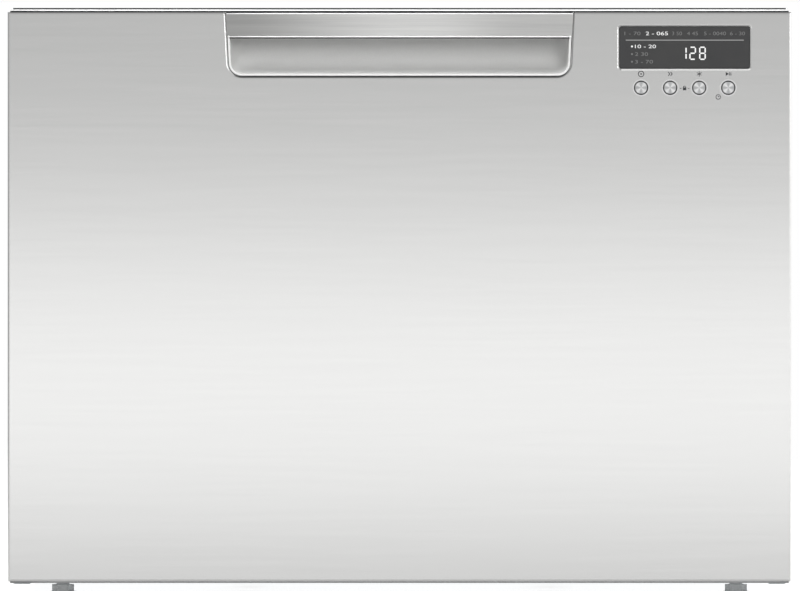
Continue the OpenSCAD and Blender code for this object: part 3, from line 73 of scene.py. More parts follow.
def linear(colour):
    """sRGB hex to linear RGBA: each channel goes through the sRGB curve."""
    parts = [int(colour[i:i + 2], 16) / 255 for i in (1, 3, 5)]
    return [c / 12.92 if c <= 0.04045 else ((c + 0.055) / 1.055) ** 2.4 for c in parts] + [1]


def add(tree, kind, *values, **named):
    """Adds a node. kind is its type and, after a space, its operation. Values fill its
    sockets in order. A name in small letters is a setting, and any other is a socket's
    name, or its number after an underscore. A node as a value gives its first output."""
    words = kind.split()
    made = tree.nodes.new("ShaderNode" + words[0])
    if words[1:]:
        made.operation = words[1]
    sockets = dict(enumerate(values))
    for name, value in named.items():
        if name[0].islower():
            setattr(made, name, value)
        else:
            sockets[int(name[1:]) if name[0] == "_" else name.replace("_", " ")] = value
    for key, value in sockets.items():
        if isinstance(value, bpy.types.Node):
            value = value.outputs[0]
        if isinstance(value, bpy.types.NodeSocket):
            tree.links.new(value, made.inputs[key])
        else:
            made.inputs[key].default_value = value
    return made


def material(name):
    """A new material with no nodes yet, and its node tree."""
    made = bpy.data.materials.new(name)
    made.use_nodes = True
    made.node_tree.nodes.clear()
    return made, made.node_tree


# The room is white to the eye, in metal and through glass, and gives less as light.
world = bpy.data.worlds.new("studio")
bpy.context.scene.world = world
world.use_nodes = True
world.node_tree.nodes.clear()
ROOM_LEVEL = 0.22
path = add(world.node_tree, "LightPath")
seen = add(world.node_tree, "Math MAXIMUM", path.outputs["Is Camera Ray"],
           path.outputs["Is Transmission Ray"])
seen = add(world.node_tree, "Math MAXIMUM", seen, path.outputs["Is Glossy Ray"])
room = add(world.node_tree, "MapRange", seen, _3=ROOM_LEVEL, _4=1.0)
background = add(world.node_tree, "Background", Color=(1, 1, 1, 1), Strength=room)
add(world.node_tree, "OutputWorld", Surface=background)


def piece(name, verts, faces, finish, body, smooth=True):
    """A mesh piece with its place in its mesh and one finish, riding on a body if it has
    one."""
    mesh = bpy.data.meshes.new(name)
    mesh.from_pydata(np.asarray(verts, float).tolist(), [], faces)
    mesh.materials.append(finish)
    mesh.polygons.foreach_set("use_smooth", [smooth] * len(mesh.polygons))
    mesh.update()
    made = bpy.data.objects.new(name, mesh)
    bpy.context.scene.collection.objects.link(made)
    if body:
        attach(made, body)
    return made


# The floor is a plain pale paper. It adds a glow for the eye alone, so that it reads as
# white, and its matt part still darkens where the unit keeps the light off.
FLOOR_GLOW = 0.82
FLOOR_HALF = 4.0
floor_finish, tree = material("matt_white_paper_floor")
path = add(tree, "LightPath")
to_eye = add(tree, "Math MAXIMUM", path.outputs["Is Camera Ray"], path.outputs["Is Glossy Ray"])
to_eye = add(tree, "Math MULTIPLY", to_eye, FLOOR_GLOW)
paper = add(tree, "BsdfPrincipled", Base_Color=linear("#d8d8d8"), Roughness=0.9,
            Specular_IOR_Level=0.2, Emission_Color=(1, 1, 1, 1), Emission_Strength=to_eye)
add(tree, "OutputMaterial", Surface=paper)
floor = piece("floor", [(-FLOOR_HALF, -FLOOR_HALF, 0), (FLOOR_HALF, -FLOOR_HALF, 0),
                        (FLOOR_HALF, FLOOR_HALF, 0), (-FLOOR_HALF, FLOOR_HALF, 0)],
              [(0, 1, 2, 3)], floor_finish, None, smooth=False)


def reflected_sheet(name, corners, finish, tree, level):
    """A glowing sheet with four corners that only reflections see."""
    glow = add(tree, "Emission", Color=(1, 1, 1, 1), Strength=level)
    add(tree, "OutputMaterial", Surface=glow)
    made = piece(name, corners, [(0, 1, 2, 3)], finish, None, smooth=False)
    made.visible_camera = made.visible_diffuse = made.visible_shadow = False


# The softbox is a wide sheet of light in front of the panel. Brushed steel mirrors it:
# it is brightest 0.17 m above the floor, and falls off up and down from there.
CARD_FAR = 1.1
CARD_HALF_W = 1.6
CARD_LOW = -0.9
CARD_HIGH = 3.4
CARD_MIDDLE = 0.169
CARD_LEVEL = 1.2
CARD_TOP_LEVEL = 0.54
CARD_FOOT_LEVEL = 0.84
CARD_RISE = 0.5
CARD_FALL = 0.26
card_y = FACE_Y - CARD_FAR
card_finish, tree = material("softbox_sheet")
axes = add(tree, "SeparateXYZ", add(tree, "NewGeometry").outputs["Position"])
below = add(tree, "MapRange", axes.outputs["Z"], CARD_MIDDLE - CARD_RISE, CARD_MIDDLE,
            CARD_FOOT_LEVEL, CARD_LEVEL, interpolation_type="SMOOTHSTEP")
above = add(tree, "MapRange", axes.outputs["Z"], CARD_MIDDLE, CARD_MIDDLE + CARD_FALL,
            CARD_LEVEL, CARD_TOP_LEVEL, interpolation_type="SMOOTHSTEP")
reflected_sheet("softbox", [(-CARD_HALF_W, card_y, CARD_LOW), (-CARD_HALF_W, card_y, CARD_HIGH),
                            (CARD_HALF_W, card_y, CARD_HIGH), (CARD_HALF_W, card_y, CARD_LOW)],
                card_finish, tree, add(tree, "Math MINIMUM", below, above))

# A grey sheet lies on the floor in front of the unit, unseen by the camera: the lowest
# part of the panel mirrors it and darkens a little.
SHEET_LEVEL = 0.56
SHEET_Z = 0.002
reflected_sheet("floor_sheet", [(-CARD_HALF_W, card_y, SHEET_Z), (CARD_HALF_W, card_y, SHEET_Z),
                                (CARD_HALF_W, FACE_Y, SHEET_Z), (-CARD_HALF_W, FACE_Y, SHEET_Z)],
                *material("grey_floor_sheet"), SHEET_LEVEL)

# Dark cloths hang to the left of the unit and above it, so that folds that face up or
# left read as thin dark lines while those that face right stay bright.
CLOTH_X = 1.7
CLOTH_Y = 3.0
CLOTH_LOW = -0.2
CLOTH_HIGH = 3.5
reflected_sheet("left_cloth", [(-CLOTH_X, -CLOTH_Y, CLOTH_LOW), (-CLOTH_X, CLOTH_Y, CLOTH_LOW),
                               (-CLOTH_X, CLOTH_Y, CLOTH_HIGH), (-CLOTH_X, -CLOTH_Y, CLOTH_HIGH)],
                *material("dark_cloth_at_left"), 0.4)
reflected_sheet("top_cloth", [(-CLOTH_X, -CLOTH_Y, CLOTH_HIGH), (-CLOTH_X, CLOTH_Y, CLOTH_HIGH),
                              (CLOTH_X, CLOTH_Y, CLOTH_HIGH), (CLOTH_X, -CLOTH_Y, CLOTH_HIGH)],
                *material("dark_cloth_above"), 0.3)


def lamp(name, place, aim, size, watts):
    """A square area lamp at a place, turned to shine at a point."""
    data = bpy.data.lights.new(name, "AREA")
    data.shape = "SQUARE"
    data.size = size
    data.energy = watts
    made = bpy.data.objects.new(name, data)
    made.location = place
    way = np.array(aim) - np.array(place)
    flat = math.hypot(way[0], way[1])
    made.rotation_euler = (math.atan2(flat, -way[2]), 0, math.atan2(way[1], way[0]) - math.pi / 2)
    bpy.context.scene.collection.objects.link(made)
    return made


lamp("right_key", (2.2, -1.0, 1.0), (0, 0, 0.2), 0.9, 8)
# Matt parts get two soft lamps that metal doesn't mirror. The one from high in front
# lets the bar shade the top of the pocket.
for lamp_name, place, aim, size, watts in (
        ("top_fill", (-0.2, -1.1, 2.1), (0, -0.1, 0.3), 1.2, 36),
        ("front_lamp", (0.6, FACE_Y - 3.4, 1.5), (0, FACE_Y, 0.4), 1.7, 74)):
    lamp(lamp_name, place, aim, size, watts).visible_glossy = False


# ---- Chassis ----
# Pans and sheets of zinc-coated steel, folded and spot-welded. The coating shows as pale
# grey with large soft crystals of about 14 mm, half matt and low in contrast.
NOISE_LOW, NOISE_HIGH = 0.3, 0.7


def coords(tree, *scale):
    """Object coordinates multiplied by a scale for each axis, in repeats per metre."""
    return add(tree, "Mapping", Vector=add(tree, "TexCoord").outputs["Object"], Scale=scale)


def per_m(mm):
    """Repeats in a metre of something that is so many millimetres long."""
    return 1000 / mm


def surface(name, dark, light, grain, **sockets):
    """A principled finish whose colour and roughness follow one soft noise; grain is
    (coordinates scale, bump depth in metres, roughness from, roughness to). The noise
    stays within about NOISE_LOW to NOISE_HIGH, which is spread over each range."""
    made, tree = material(name)
    scale, depth, smooth_end, rough_end = grain
    field = add(tree, "TexNoise", Vector=coords(tree, *scale), Scale=1.0, Detail=2.0,
                Roughness=0.5)
    share = add(tree, "MapRange", field, NOISE_LOW, NOISE_HIGH, 0, 1)
    tone = add(tree, "Mix", share, _6=linear(dark), _7=linear(light), data_type="RGBA")
    if depth:
        sockets["Normal"] = add(tree, "Bump", Strength=0.5, Distance=depth, Height=field)
    shader = add(tree, "BsdfPrincipled", Base_Color=tone.outputs[2],
                 Roughness=add(tree, "MapRange", field, NOISE_LOW, NOISE_HIGH, smooth_end,
                               rough_end), **sockets)
    add(tree, "OutputMaterial", Surface=shader)
    return made


def dress(finish, *names):
    """Gives CAD nodes a finish in all their material slots."""
    for name in names:
        for slot in nodes[name].material_slots:
            slot.link = "OBJECT"
            slot.material = finish


zinc = surface("galvanised_steel_sheet", "#8f9497", "#a9adb0",
               ((per_m(14),) * 3, 0, 0.38, 0.52), Metallic=0.9)
dress(zinc, "chassis_base", "chassis_side_left", "chassis_side_right", "chassis_back",
      "mounting_brackets")

# ---- Top trim ----
# A folded strip of steel across the chassis under a pale lacquer. Its front edge is the
# thin line that shows above the panel.
trim_steel = surface("pale_lacquered_steel_trim", "#e6e7e7", "#ecedec",
                     ((per_m(60), per_m(0.8), per_m(0.8)), 0.00001, 0.3, 0.36), IOR=1.5)
dress(trim_steel, "top_trim")

# ---- Front gasket and feet ----
# Moulded black rubber pressed into the chassis front, and white nylon feet on threaded
# stems. Both are matt, and the rubber has a fine bloom.
rubber = surface("matt_black_rubber", "#1d1e1f", "#2b2c2d",
                 ((per_m(3),) * 3, 0.00003, 0.7, 0.85), IOR=1.52)
dress(rubber, "front_gasket")
nylon = surface("moulded_white_nylon", "#ededec", "#f5f5f4",
                ((per_m(0.9),) * 3, 0.00003, 0.5, 0.62), IOR=1.53)
dress(nylon, "foot_front_left", "foot_front_right", "foot_rear_left", "foot_rear_right")

# ---- Runners ----
# Rolled steel sections with a bright zinc plating, drawn lengthways through the rolls,
# so fine lines run along them.
runner_steel = surface("zinc_plated_runner_steel", "#9a9ea1", "#b4b7b9",
                       ((per_m(1.2), per_m(40), per_m(1.2)), 0.00002, 0.28, 0.4), Metallic=1.0)
dress(runner_steel, *["runner_%s_%s" % (member, side) for member in ("outer", "middle", "inner")
                      for side in ("left", "right")])

# ---- Inner parts ----
# Polypropylene and ABS from polished or spark-eroded moulds, clipped and screwed together.
# Coated wire, stainless plates, a seal, a hose and a circuit board lie with them.
MOULD_GRAIN = per_m(0.8)


def moulded(name, dark, light, shine):
    """Moulded plastic with a fine spark-eroded grain; shine is its lowest roughness."""
    return surface(name, dark, light, ((MOULD_GRAIN,) * 3, 0.00002, shine, shine + 0.1),
                   IOR=1.49)


# The plastics have a very fine even grain and a soft shine. The tub's wall is the palest
# and the glossiest, and the frame's glass fibres leave it the dullest.
dress(moulded("tub_polypropylene", "#d9dcdd", "#e2e4e5", 0.34), "tub", "dispenser")
dress(moulded("lid_polypropylene", "#c6cacc", "#d0d3d5", 0.42), "lid_shell")
dress(moulded("white_acetal", "#e4e5e4", "#ececeb", 0.36), "lid_rail_left", "lid_rail_right",
      "link_front_left", "link_front_right", "link_rear_left", "link_rear_right",
      "inlet_valve", "terminal_box")
# A soft moulded lip, mid grey and matt.
seal_rubber = surface("grey_lid_seal_rubber", "#4c5053", "#595d60",
                      ((per_m(3),) * 3, 0.00003, 0.6, 0.75), IOR=1.52)
dress(seal_rubber, "lid_seal")
dress(moulded("glass_filled_frame_plastic", "#63676a", "#6e7275", 0.45), "front_frame")
dress(moulded("dark_grey_abs", "#2c2e30", "#363839", 0.38), "fan_housing", "fan_wheel",
      "drain_spigot", "drain_pump", "wash_motor")
dress(moulded("wash_system_polypropylene", "#596065", "#646b70", 0.36), "pump_rotor",
      "spray_arm", "drain_filter", "rinse_cap", "dispenser_door")
dress(moulded("shelf_polypropylene", "#a4a9ac", "#b0b5b7", 0.4), "cup_shelf_left",
      "cup_shelf_right", "cutlery_basket")
# Nylon powder melted onto the wire: smooth, with a broad soft highlight along it.
wire_coat = surface("nylon_coated_wire", "#878c90", "#94999c",
                    ((per_m(2),) * 3, 0.00001, 0.32, 0.42), IOR=1.53)
dress(wire_coat, "rack", "rack_floor", "tine_row_front", "tine_row_rear")
# Glass cloth in epoxy under a green solder mask, half glossy.
board_green = surface("glass_epoxy_board", "#1f4a33", "#28583e",
                      ((per_m(1.5),) * 3, 0, 0.35, 0.45), IOR=1.55)
dress(board_green, "control_board")
# Stainless plate with an even satin grind, which blurs what it mirrors.
satin_plate = surface("satin_stainless_plate", "#a9abac", "#bdbfc0",
                      ((per_m(0.7),) * 3, 0.00002, 0.3, 0.42), Metallic=1.0)
dress(satin_plate, "filter_plate", "heater_plate")
# Blow-moulded hose: duller than the other plastics, with a slight waviness.
hose_grey = surface("grey_hose_polypropylene", "#8e9295", "#9a9ea0",
                    ((per_m(3),) * 3, 0.00003, 0.45, 0.55), IOR=1.49)
dress(hose_grey, "drain_hose")


# ---- Front panel ----
# The drawer's face: one folded sheet of 0.8 mm stainless steel, brushed from side to side.
# Its edge rolls in round the cut-out and the display and catches the light of the far side
# there. Round each button a ring is painted white as a highlight.
NOTCH_TOP_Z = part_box("front_skin")[1].z
NOTCH_DEEP = 49.8 * MM
NOTCH_FOOT_Z = NOTCH_TOP_Z - NOTCH_DEEP
NOTCH_HALF = 133.3 * MM
NOTCH_LEAN = 2.45 * MM / NOTCH_DEEP
NOTCH_ROUND = 10.7 * MM
NOTCH_ROLL = 1.4 * MM
LENS_LOW, LENS_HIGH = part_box("display_lens")
LENS_GAP = 0.4 * MM
LENS_ROUND = 2.2 * MM
LENS_ROLL = 1.3 * MM
ROLL_SLOPE = 1.6
BUTTONS = ("button_power", "button_mode", "button_star", "button_start")
CAP_LOW, CAP_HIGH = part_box(BUTTONS[0])
BUTTON_Z = (CAP_LOW.z + CAP_HIGH.z) / 2
BUTTON_XS = [(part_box(name)[0].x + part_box(name)[1].x) / 2 for name in BUTTONS]
PITCH = BUTTON_XS[1] - BUTTON_XS[0]
HOLE_R = 5.5 * MM
SCRATCH_DEEP = 0.0000004


def rolled(tree, past_x, past_z, radius, width):
    """Height of a sheet that rolls in round an opening with round corners. past_x and
    past_z say how far a point lies past a corner's centre; within width of the edge the
    sheet sinks along a parabola that ends at ROLL_SLOPE."""
    square = [add(tree, "Math POWER", add(tree, "Math MAXIMUM", past, 0.0), 2.0)
              for past in (past_x, past_z)]
    away = add(tree, "Math SUBTRACT", add(tree, "Math SQRT", add(tree, "Math ADD", *square)),
               radius)
    near = add(tree, "Math SUBTRACT", 1.0, add(tree, "Math DIVIDE", away, width),
               use_clamp=True)
    return add(tree, "Math MULTIPLY", add(tree, "Math POWER", near, 2.0),
               -width * ROLL_SLOPE / 2)


def panel_rolls(tree):
    """The rolled edges of the cut-out and the window as one height in metres."""
    axes = add(tree, "SeparateXYZ", coords(tree, 1, 1, 1))
    x, z = axes.outputs["X"], axes.outputs["Z"]
    half = add(tree, "Math MULTIPLY_ADD", z, NOTCH_LEAN, NOTCH_HALF - NOTCH_LEAN * NOTCH_TOP_Z)
    past_x = add(tree, "Math SUBTRACT", add(tree, "Math ABSOLUTE", x), half)
    past_x = add(tree, "Math ADD", past_x, NOTCH_ROUND)
    past_z = add(tree, "Math SUBTRACT", NOTCH_FOOT_Z + NOTCH_ROUND, z)
    notch_roll = rolled(tree, past_x, past_z, NOTCH_ROUND, NOTCH_ROLL)
    pasts = []
    for place, low, high in ((x, LENS_LOW.x, LENS_HIGH.x), (z, LENS_LOW.z, LENS_HIGH.z)):
        off = add(tree, "Math SUBTRACT", place, (low + high) / 2)
        pasts.append(add(tree, "Math SUBTRACT", add(tree, "Math ABSOLUTE", off),
                         (high - low) / 2 + LENS_GAP - LENS_ROUND))
    lens_roll = rolled(tree, *pasts, LENS_ROUND, LENS_ROLL)
    # The sheet sinks most at the window's left and top, and less at its right, and its
    # lower edge stands up a little. share is what is taken off the roll: 0.55, less 0.38
    # above the window and plus 0.6 below it.
    right = add(tree, "Math GREATER_THAN", x, LENS_LOW.x + 1.5 * MM)
    low = add(tree, "Math LESS_THAN", z, LENS_LOW.z)
    high = add(tree, "Math GREATER_THAN", z, LENS_HIGH.z)
    share = add(tree, "Math MULTIPLY_ADD", high, -0.38, 0.55)
    share = add(tree, "Math MULTIPLY_ADD", low, 0.6, share)
    share = add(tree, "Math MULTIPLY", right, share)
    lens_roll = add(tree, "Math MULTIPLY", lens_roll, add(tree, "Math SUBTRACT", 1.0, share))
    return add(tree, "Math ADD", notch_roll, lens_roll)


def button_ring_highlight(tree):
    """From 1 at the rim of a button's hole to 0 a little way out: a ring of painted highlight
    that is mixed to white; x goes to the nearest of the four holes."""
    axes = add(tree, "SeparateXYZ", coords(tree, 1, 1, 1))
    step = add(tree, "Math MULTIPLY_ADD", axes.outputs["X"], 1 / PITCH, -BUTTON_XS[0] / PITCH)
    step = add(tree, "Math MAXIMUM", add(tree, "Math ROUND", step), 0.0)
    step = add(tree, "Math MINIMUM", step, len(BUTTONS) - 1.0)
    off_x = add(tree, "Math SUBTRACT", axes.outputs["X"],
                add(tree, "Math MULTIPLY_ADD", step, PITCH, BUTTON_XS[0]))
    off_z = add(tree, "Math SUBTRACT", axes.outputs["Z"], BUTTON_Z)
    square = [add(tree, "Math POWER", off, 2.0) for off in (off_x, off_z)]
    reach = add(tree, "Math SQRT", add(tree, "Math ADD", *square))
    return add(tree, "MapRange", reach, HOLE_R + 0.5 * MM, HOLE_R + 1.5 * MM, 1.0, 0.0,
               interpolation_type="SMOOTHSTEP")


def brushed(name, dark, light, rough, stretch, relief, ends=None, ring_highlight=None):
    """Stainless steel with fine scratches along X: the tone and the roughness follow long
    thin streaks, and the highlight spreads across them. relief and ring_highlight are functions
    that give the sheet's height in metres and its share of painted white highlight. ends gives
    a painted sheen that darkens the left end and the right one: for each (its share of the full
    tone, its X, X of the full tone)."""
    made, tree = material(name)
    streak = add(tree, "TexNoise", Vector=coords(tree, per_m(60), per_m(0.35), per_m(0.35)),
                 Scale=1.0, Detail=3.0, Roughness=0.6)
    broad = add(tree, "TexNoise", Vector=coords(tree, per_m(110), per_m(4), per_m(4)),
                Scale=1.0, Detail=2.0, Roughness=0.5)
    mixed = add(tree, "Mix", 0.5, _2=streak, _3=broad)
    share = add(tree, "MapRange", mixed, NOISE_LOW, NOISE_HIGH, 0, 1)
    colour = add(tree, "Mix", share, _6=linear(dark), _7=linear(light),
                 data_type="RGBA").outputs[2]
    # Darker towards both ends: a painted sheen, at full tone just right of the middle.
    if ends:
        axes = add(tree, "SeparateXYZ", coords(tree, 1, 1, 1))
        sheen_tones = [add(tree, "MapRange", axes.outputs["X"], far, near, tone, 1.0,
                     interpolation_type="SMOOTHSTEP") for tone, far, near in ends]
        colour = add(tree, "VectorMath SCALE", Vector=colour,
                     Scale=add(tree, "Math MINIMUM", *sheen_tones))
    # Mixes in white round the button holes: a painted highlight.
    if ring_highlight:
        colour = add(tree, "Mix", ring_highlight(tree), _6=colour, _7=(1, 1, 1, 1),
                     data_type="RGBA").outputs[2]
    height = add(tree, "Math MULTIPLY_ADD", streak, SCRATCH_DEEP, relief(tree))
    shader = add(tree, "BsdfPrincipled", Metallic=1.0, Base_Color=colour,
                 Roughness=add(tree, "MapRange", mixed, NOISE_LOW, NOISE_HIGH, rough - 0.005,
                               rough + 0.005),
                 Anisotropic=stretch, Anisotropic_Rotation=0.25,
                 Tangent=add(tree, "Tangent", direction_type="RADIAL", axis="Z"),
                 Normal=add(tree, "Bump", Strength=1.0, Distance=1.0, Height=height))
    add(tree, "OutputMaterial", Surface=shader)
    return made


# Bright streaks that follow the brush, and a soft mirror that spreads up and down.
panel_steel = brushed("brushed_stainless_panel", "#e9e9e8", "#ededec", 0.2, 0.5,
                      panel_rolls, ring_highlight=button_ring_highlight)
dress(panel_steel, "front_skin")

# ---- Handle bar ----
# A second folded piece of the same steel across the top of the cut-out. Its grain is
# coarser than the panel's, its middle is brighter than its ends by a painted sheen, and its
# face leans 3 degrees down towards the brighter part of the softbox.
BAR_LEAN = 0.054


def bar_lean(tree):
    """Height of a face that comes forward by BAR_LEAN metres for each metre up."""
    axes = add(tree, "SeparateXYZ", coords(tree, 1, 1, 1))
    return add(tree, "Math MULTIPLY", axes.outputs["Z"], BAR_LEAN)


bar_steel = brushed("satin_stainless_bar", "#e6e6e5", "#fbfbf9", 0.42, 0.35,
                    bar_lean, ends=((0.52, -NOTCH_HALF, 0.0), (0.8, 0.095, 0.02)))
dress(bar_steel, "handle_bar")

# ---- Finger pocket ----
# One light grey ABS moulding behind the cut-out: a rim just inside the steel, and a deep
# hollow whose walls run into its back in one round sweep, with its top in shade.
POCKET_FACE = FACE_Y + 0.5 * MM
POCKET_TOP_Z = NOTCH_TOP_Z - 5.5 * MM
POCKET_DEEP = 30 * MM
POCKET_WALL = 2 * MM


def notch(side, foot, top_z, round_foot, round_top=0.0, steps=10):
    """Outline of the cut-out as X, Z points, from its top left corner round the foot to
    its top right: sides that lean in by NOTCH_LEAN, moved in by side and foot, and
    corners that are quarter circles."""
    def half(z):
        return NOTCH_HALF - NOTCH_LEAN * (NOTCH_TOP_Z - z) - side
    turn = np.linspace(0, 0.5 * math.pi, steps)
    foot_centre = NOTCH_FOOT_Z + foot + round_foot
    corner = np.column_stack([half(foot_centre) - round_foot * (1 - np.sin(turn)),
                              foot_centre - round_foot * np.cos(turn)])
    top_centre = top_z - round_top
    top = np.column_stack([half(top_centre) - round_top * (1 - np.cos(turn)),
                           top_centre + round_top * np.sin(turn)])
    right = np.vstack([corner, top])
    return np.vstack([right[::-1] * (-1, 1), right])


def deep(points, y):
    """Puts X, Z points at a depth y."""
    return np.column_stack([points[:, 0], np.full(len(points), y), points[:, 1]])


def loft(name, rings, finish, body, closed=False):
    """Joins rings of equal length into a skin. The last ring meets the first one if it is
    closed, and fans close both ends if not."""
    rings = np.asarray(rings)
    count, n = rings.shape[:2]
    verts = rings.reshape(-1, 3)
    row, k = np.mgrid[0:count if closed else count - 1, 0:n]
    above, beside = (row + 1) % count, (k + 1) % n
    faces = np.stack([row * n + k, above * n + k, above * n + beside, row * n + beside],
                     axis=-1).reshape(-1, 4).tolist()
    if not closed:
        first, last, base = len(verts), len(verts) + 1, (count - 1) * n
        verts = np.vstack([verts, rings[0].mean(0), rings[-1].mean(0)])
        faces += [(first, k, (k + 1) % n) for k in range(n)]
        faces += [(last, base + (k + 1) % n, base + k) for k in range(n)]
    return piece(name, verts, faces, finish, body)


def pocket_skin(side, foot, drop, corner, top_corner, start, depth):
    """Rings of one skin of the pocket, from its mouth to its back, in millimetres apart
    from the depth. As a ring turns from 0 to 90 degrees it goes in by the depth times its
    sine, and its sides, foot and top draw together by a share of 1 less its cosine."""
    rings = []
    for turn in np.radians(np.linspace(0, 90, 14)):
        swell = 1 - math.cos(turn)
        ring = notch((side + 14 * swell) * MM, (foot + 14 * swell) * MM,
                     POCKET_TOP_Z - (drop + 5 * swell) * MM, (corner + 3 * swell) * MM,
                     (top_corner + 4 * swell) * MM)
        rings.append(deep(ring, POCKET_FACE + start * MM + depth * math.sin(turn)))
    return rings


# ABS with a fine grain: pale, and dull enough that no hard highlight shows in the hollow.
pocket_finish = moulded("light_grey_pocket_abs", "#cbcbca", "#d0d0cf", 0.42)
hollow = pocket_skin(2.7, 2.5, 2, 8, 2, 1, POCKET_DEEP)
rim = [deep(notch(inset * MM, inset * MM, POCKET_TOP_Z - (inset - 0.5) * MM,
                  NOTCH_ROUND - inset * MM, 0.6 * MM), POCKET_FACE + down * MM)
       for inset, down in ((2.45, 0.35), (2.1, 0), (1.2, 0), (0.85, 0.25), (0.7, 0.8))]
outside = pocket_skin(0.7, 0.7, 0, 10, 0.6, 1.2, POCKET_DEEP + POCKET_WALL)
pocket = loft("finger_pocket", hollow[::-1] + rim + outside, pocket_finish, "drawer")
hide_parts("handle_pocket")
dress(pocket_finish, "button_guide")

# ---- Painted shadow lines and edge highlights of the bar ----
# Near-black beads in the gap between the steel's rolled edge and the moulding and in the
# joints over and under the bar are painted shadow. The bar's two long edges are rolled, and
# pale beads on them are painted highlights that stay bright.
BEAD_SIDES = 8
BAR_POINTS = 12
BAR_GAP = 1 * MM
BAR_LOW, BAR_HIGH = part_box("handle_bar")


def bead(name, path, radius, y, finish, body, closed=False):
    """A round bead of a given radius along X, Z points at a depth y: one ring of corners
    across the path at each point, its ends closed by fans. Points that repeat are left out."""
    path = np.asarray(path)
    apart = np.linalg.norm(np.diff(path, axis=0), axis=1) > 1e-7
    path = path[np.concatenate([[True], apart])]
    if closed:
        ahead, behind = np.roll(path, -1, 0), np.roll(path, 1, 0)
    else:
        ahead = np.vstack([path[1:], path[-1:]])
        behind = np.vstack([path[:1], path[:-1]])
    way = ahead - behind
    way /= np.linalg.norm(way, axis=1)[:, None]
    across = np.column_stack([-way[:, 1], way[:, 0]])
    turn = 2 * math.pi * np.arange(BEAD_SIDES) / BEAD_SIDES
    flat = path[:, None] + (radius * np.cos(turn))[:, None] * across[:, None]
    depth = np.broadcast_to(y + radius * np.sin(turn), flat.shape[:2])
    return loft(name, np.stack([flat[..., 0], depth, flat[..., 1]], axis=-1), finish, body,
                closed)


def straight_bead(name, half, z, radius, y, finish, body, points):
    """A level bead that reaches as far to the left as to the right."""
    line = np.column_stack([np.linspace(-half, half, points), np.full(points, z)])
    bead(name, line, radius, y, finish, body)


def along_bar(name, z, radius, behind, finish, short=0.0):
    """A straight bead as long as the bar is at a height, less short at each end, and some
    way behind the panel's face."""
    half = NOTCH_HALF - NOTCH_LEAN * (NOTCH_TOP_Z - z) - BAR_GAP - short
    straight_bead(name, half, z, radius, FACE_Y + behind, finish, "drawer", BAR_POINTS)


# Nearly black and without a shine: painted shadow in the gaps.
gap_shadow_finish = surface("black_gap_shadow_line", "#141516", "#1c1d1e", ((per_m(2),) * 3, 0, 0.8, 0.9))
gap = bead("cutout_gap_shadow_line", notch(0.4 * MM, 0.4 * MM, NOTCH_TOP_Z - 1 * MM, 10.3 * MM),
           0.42 * MM, FACE_Y + 0.75 * MM, gap_shadow_finish, "drawer")
# Near-white beads on the folds: a painted highlight that looks bright from every side.
edge_highlight_finish = surface("pale_edge_highlight", "#f2f2f2", "#fafafa",
                      ((per_m(3),) * 3, 0, 0.3, 0.4), Metallic=0.3)
along_bar("bar_top_edge_highlight", BAR_HIGH.z - 1.05 * MM, 0.55 * MM, 0.56 * MM, edge_highlight_finish)
along_bar("bar_foot_edge_highlight", BAR_LOW.z - 0.4 * MM, 0.5 * MM, 0.51 * MM, edge_highlight_finish)
along_bar("bar_top_shadow_line", BAR_HIGH.z - 0.1 * MM, 0.45 * MM, 0.6 * MM, gap_shadow_finish)
along_bar("bar_foot_shadow_line", BAR_LOW.z - 1.25 * MM, 0.45 * MM, 1.1 * MM, gap_shadow_finish,
          short=1.6 * MM)

# ---- Strips along the panel and the trim ----
# A black strip along the top of the sheet is a painted shadow of the gap under the trim,
# and a grey one along the sheet's foot is painted shade of the fold. The trim's front
# carries a white plastic profile under a black lip that meets the worktop.
STRIP_POINTS = 16
PANEL_LOW, PANEL_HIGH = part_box("front_skin")
TRIM_LOW, TRIM_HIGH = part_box("top_trim")
PANEL_STRIP_HALF = PANEL_HIGH.x - 2 * MM
TRIM_STRIP_HALF = TRIM_HIGH.x - 1 * MM
straight_bead("panel_top_shadow_strip", PANEL_STRIP_HALF, PANEL_HIGH.z + 0.35 * MM, 0.5 * MM,
              FACE_Y + 2.2 * MM, rubber, "drawer", STRIP_POINTS)
straight_bead("panel_foot_shade_strip", PANEL_STRIP_HALF, PANEL_LOW.z + 0.45 * MM, 0.85 * MM,
              FACE_Y + 0.9 * MM, moulded("grey_foot_shade_strip", "#7c7d7d", "#848585", 0.5),
              "drawer", STRIP_POINTS)
straight_bead("trim_rubber_lip", TRIM_STRIP_HALF, TRIM_HIGH.z - 0.55 * MM, 0.5 * MM,
              TRIM_LOW.y + 0.1 * MM, rubber, "chassis", STRIP_POINTS)
straight_bead("trim_white_profile", TRIM_STRIP_HALF, TRIM_HIGH.z - 2.2 * MM, 0.65 * MM,
              TRIM_LOW.y + 0.25 * MM, moulded("white_trim_profile", "#f6f6f5", "#fafafa", 0.35),
              "chassis", STRIP_POINTS)

# ---- Display ----
# A smoked acrylic window flush in the steel. The words of such a display are plain
# numbers here: a row of six programmes, three options and the minutes that are left.
PANEL_MIDDLE_PX = 399.5
PANEL_FOOT_PX = 582.5
PANEL_FOOT_Z = 14 * MM
PRINT_THICK = 0.02 * MM
DISPLAY_Y = LENS_LOW.y - PRINT_THICK
# Cast sheet, polished: dark grey with a faint sharp reflection.
smoked = surface("smoked_acrylic_window", "#363637", "#393939",
                 ((per_m(30),) * 3, 0, 0.1, 0.14), IOR=1.49, Specular_IOR_Level=0.35)
dress(smoked, "display_lens")


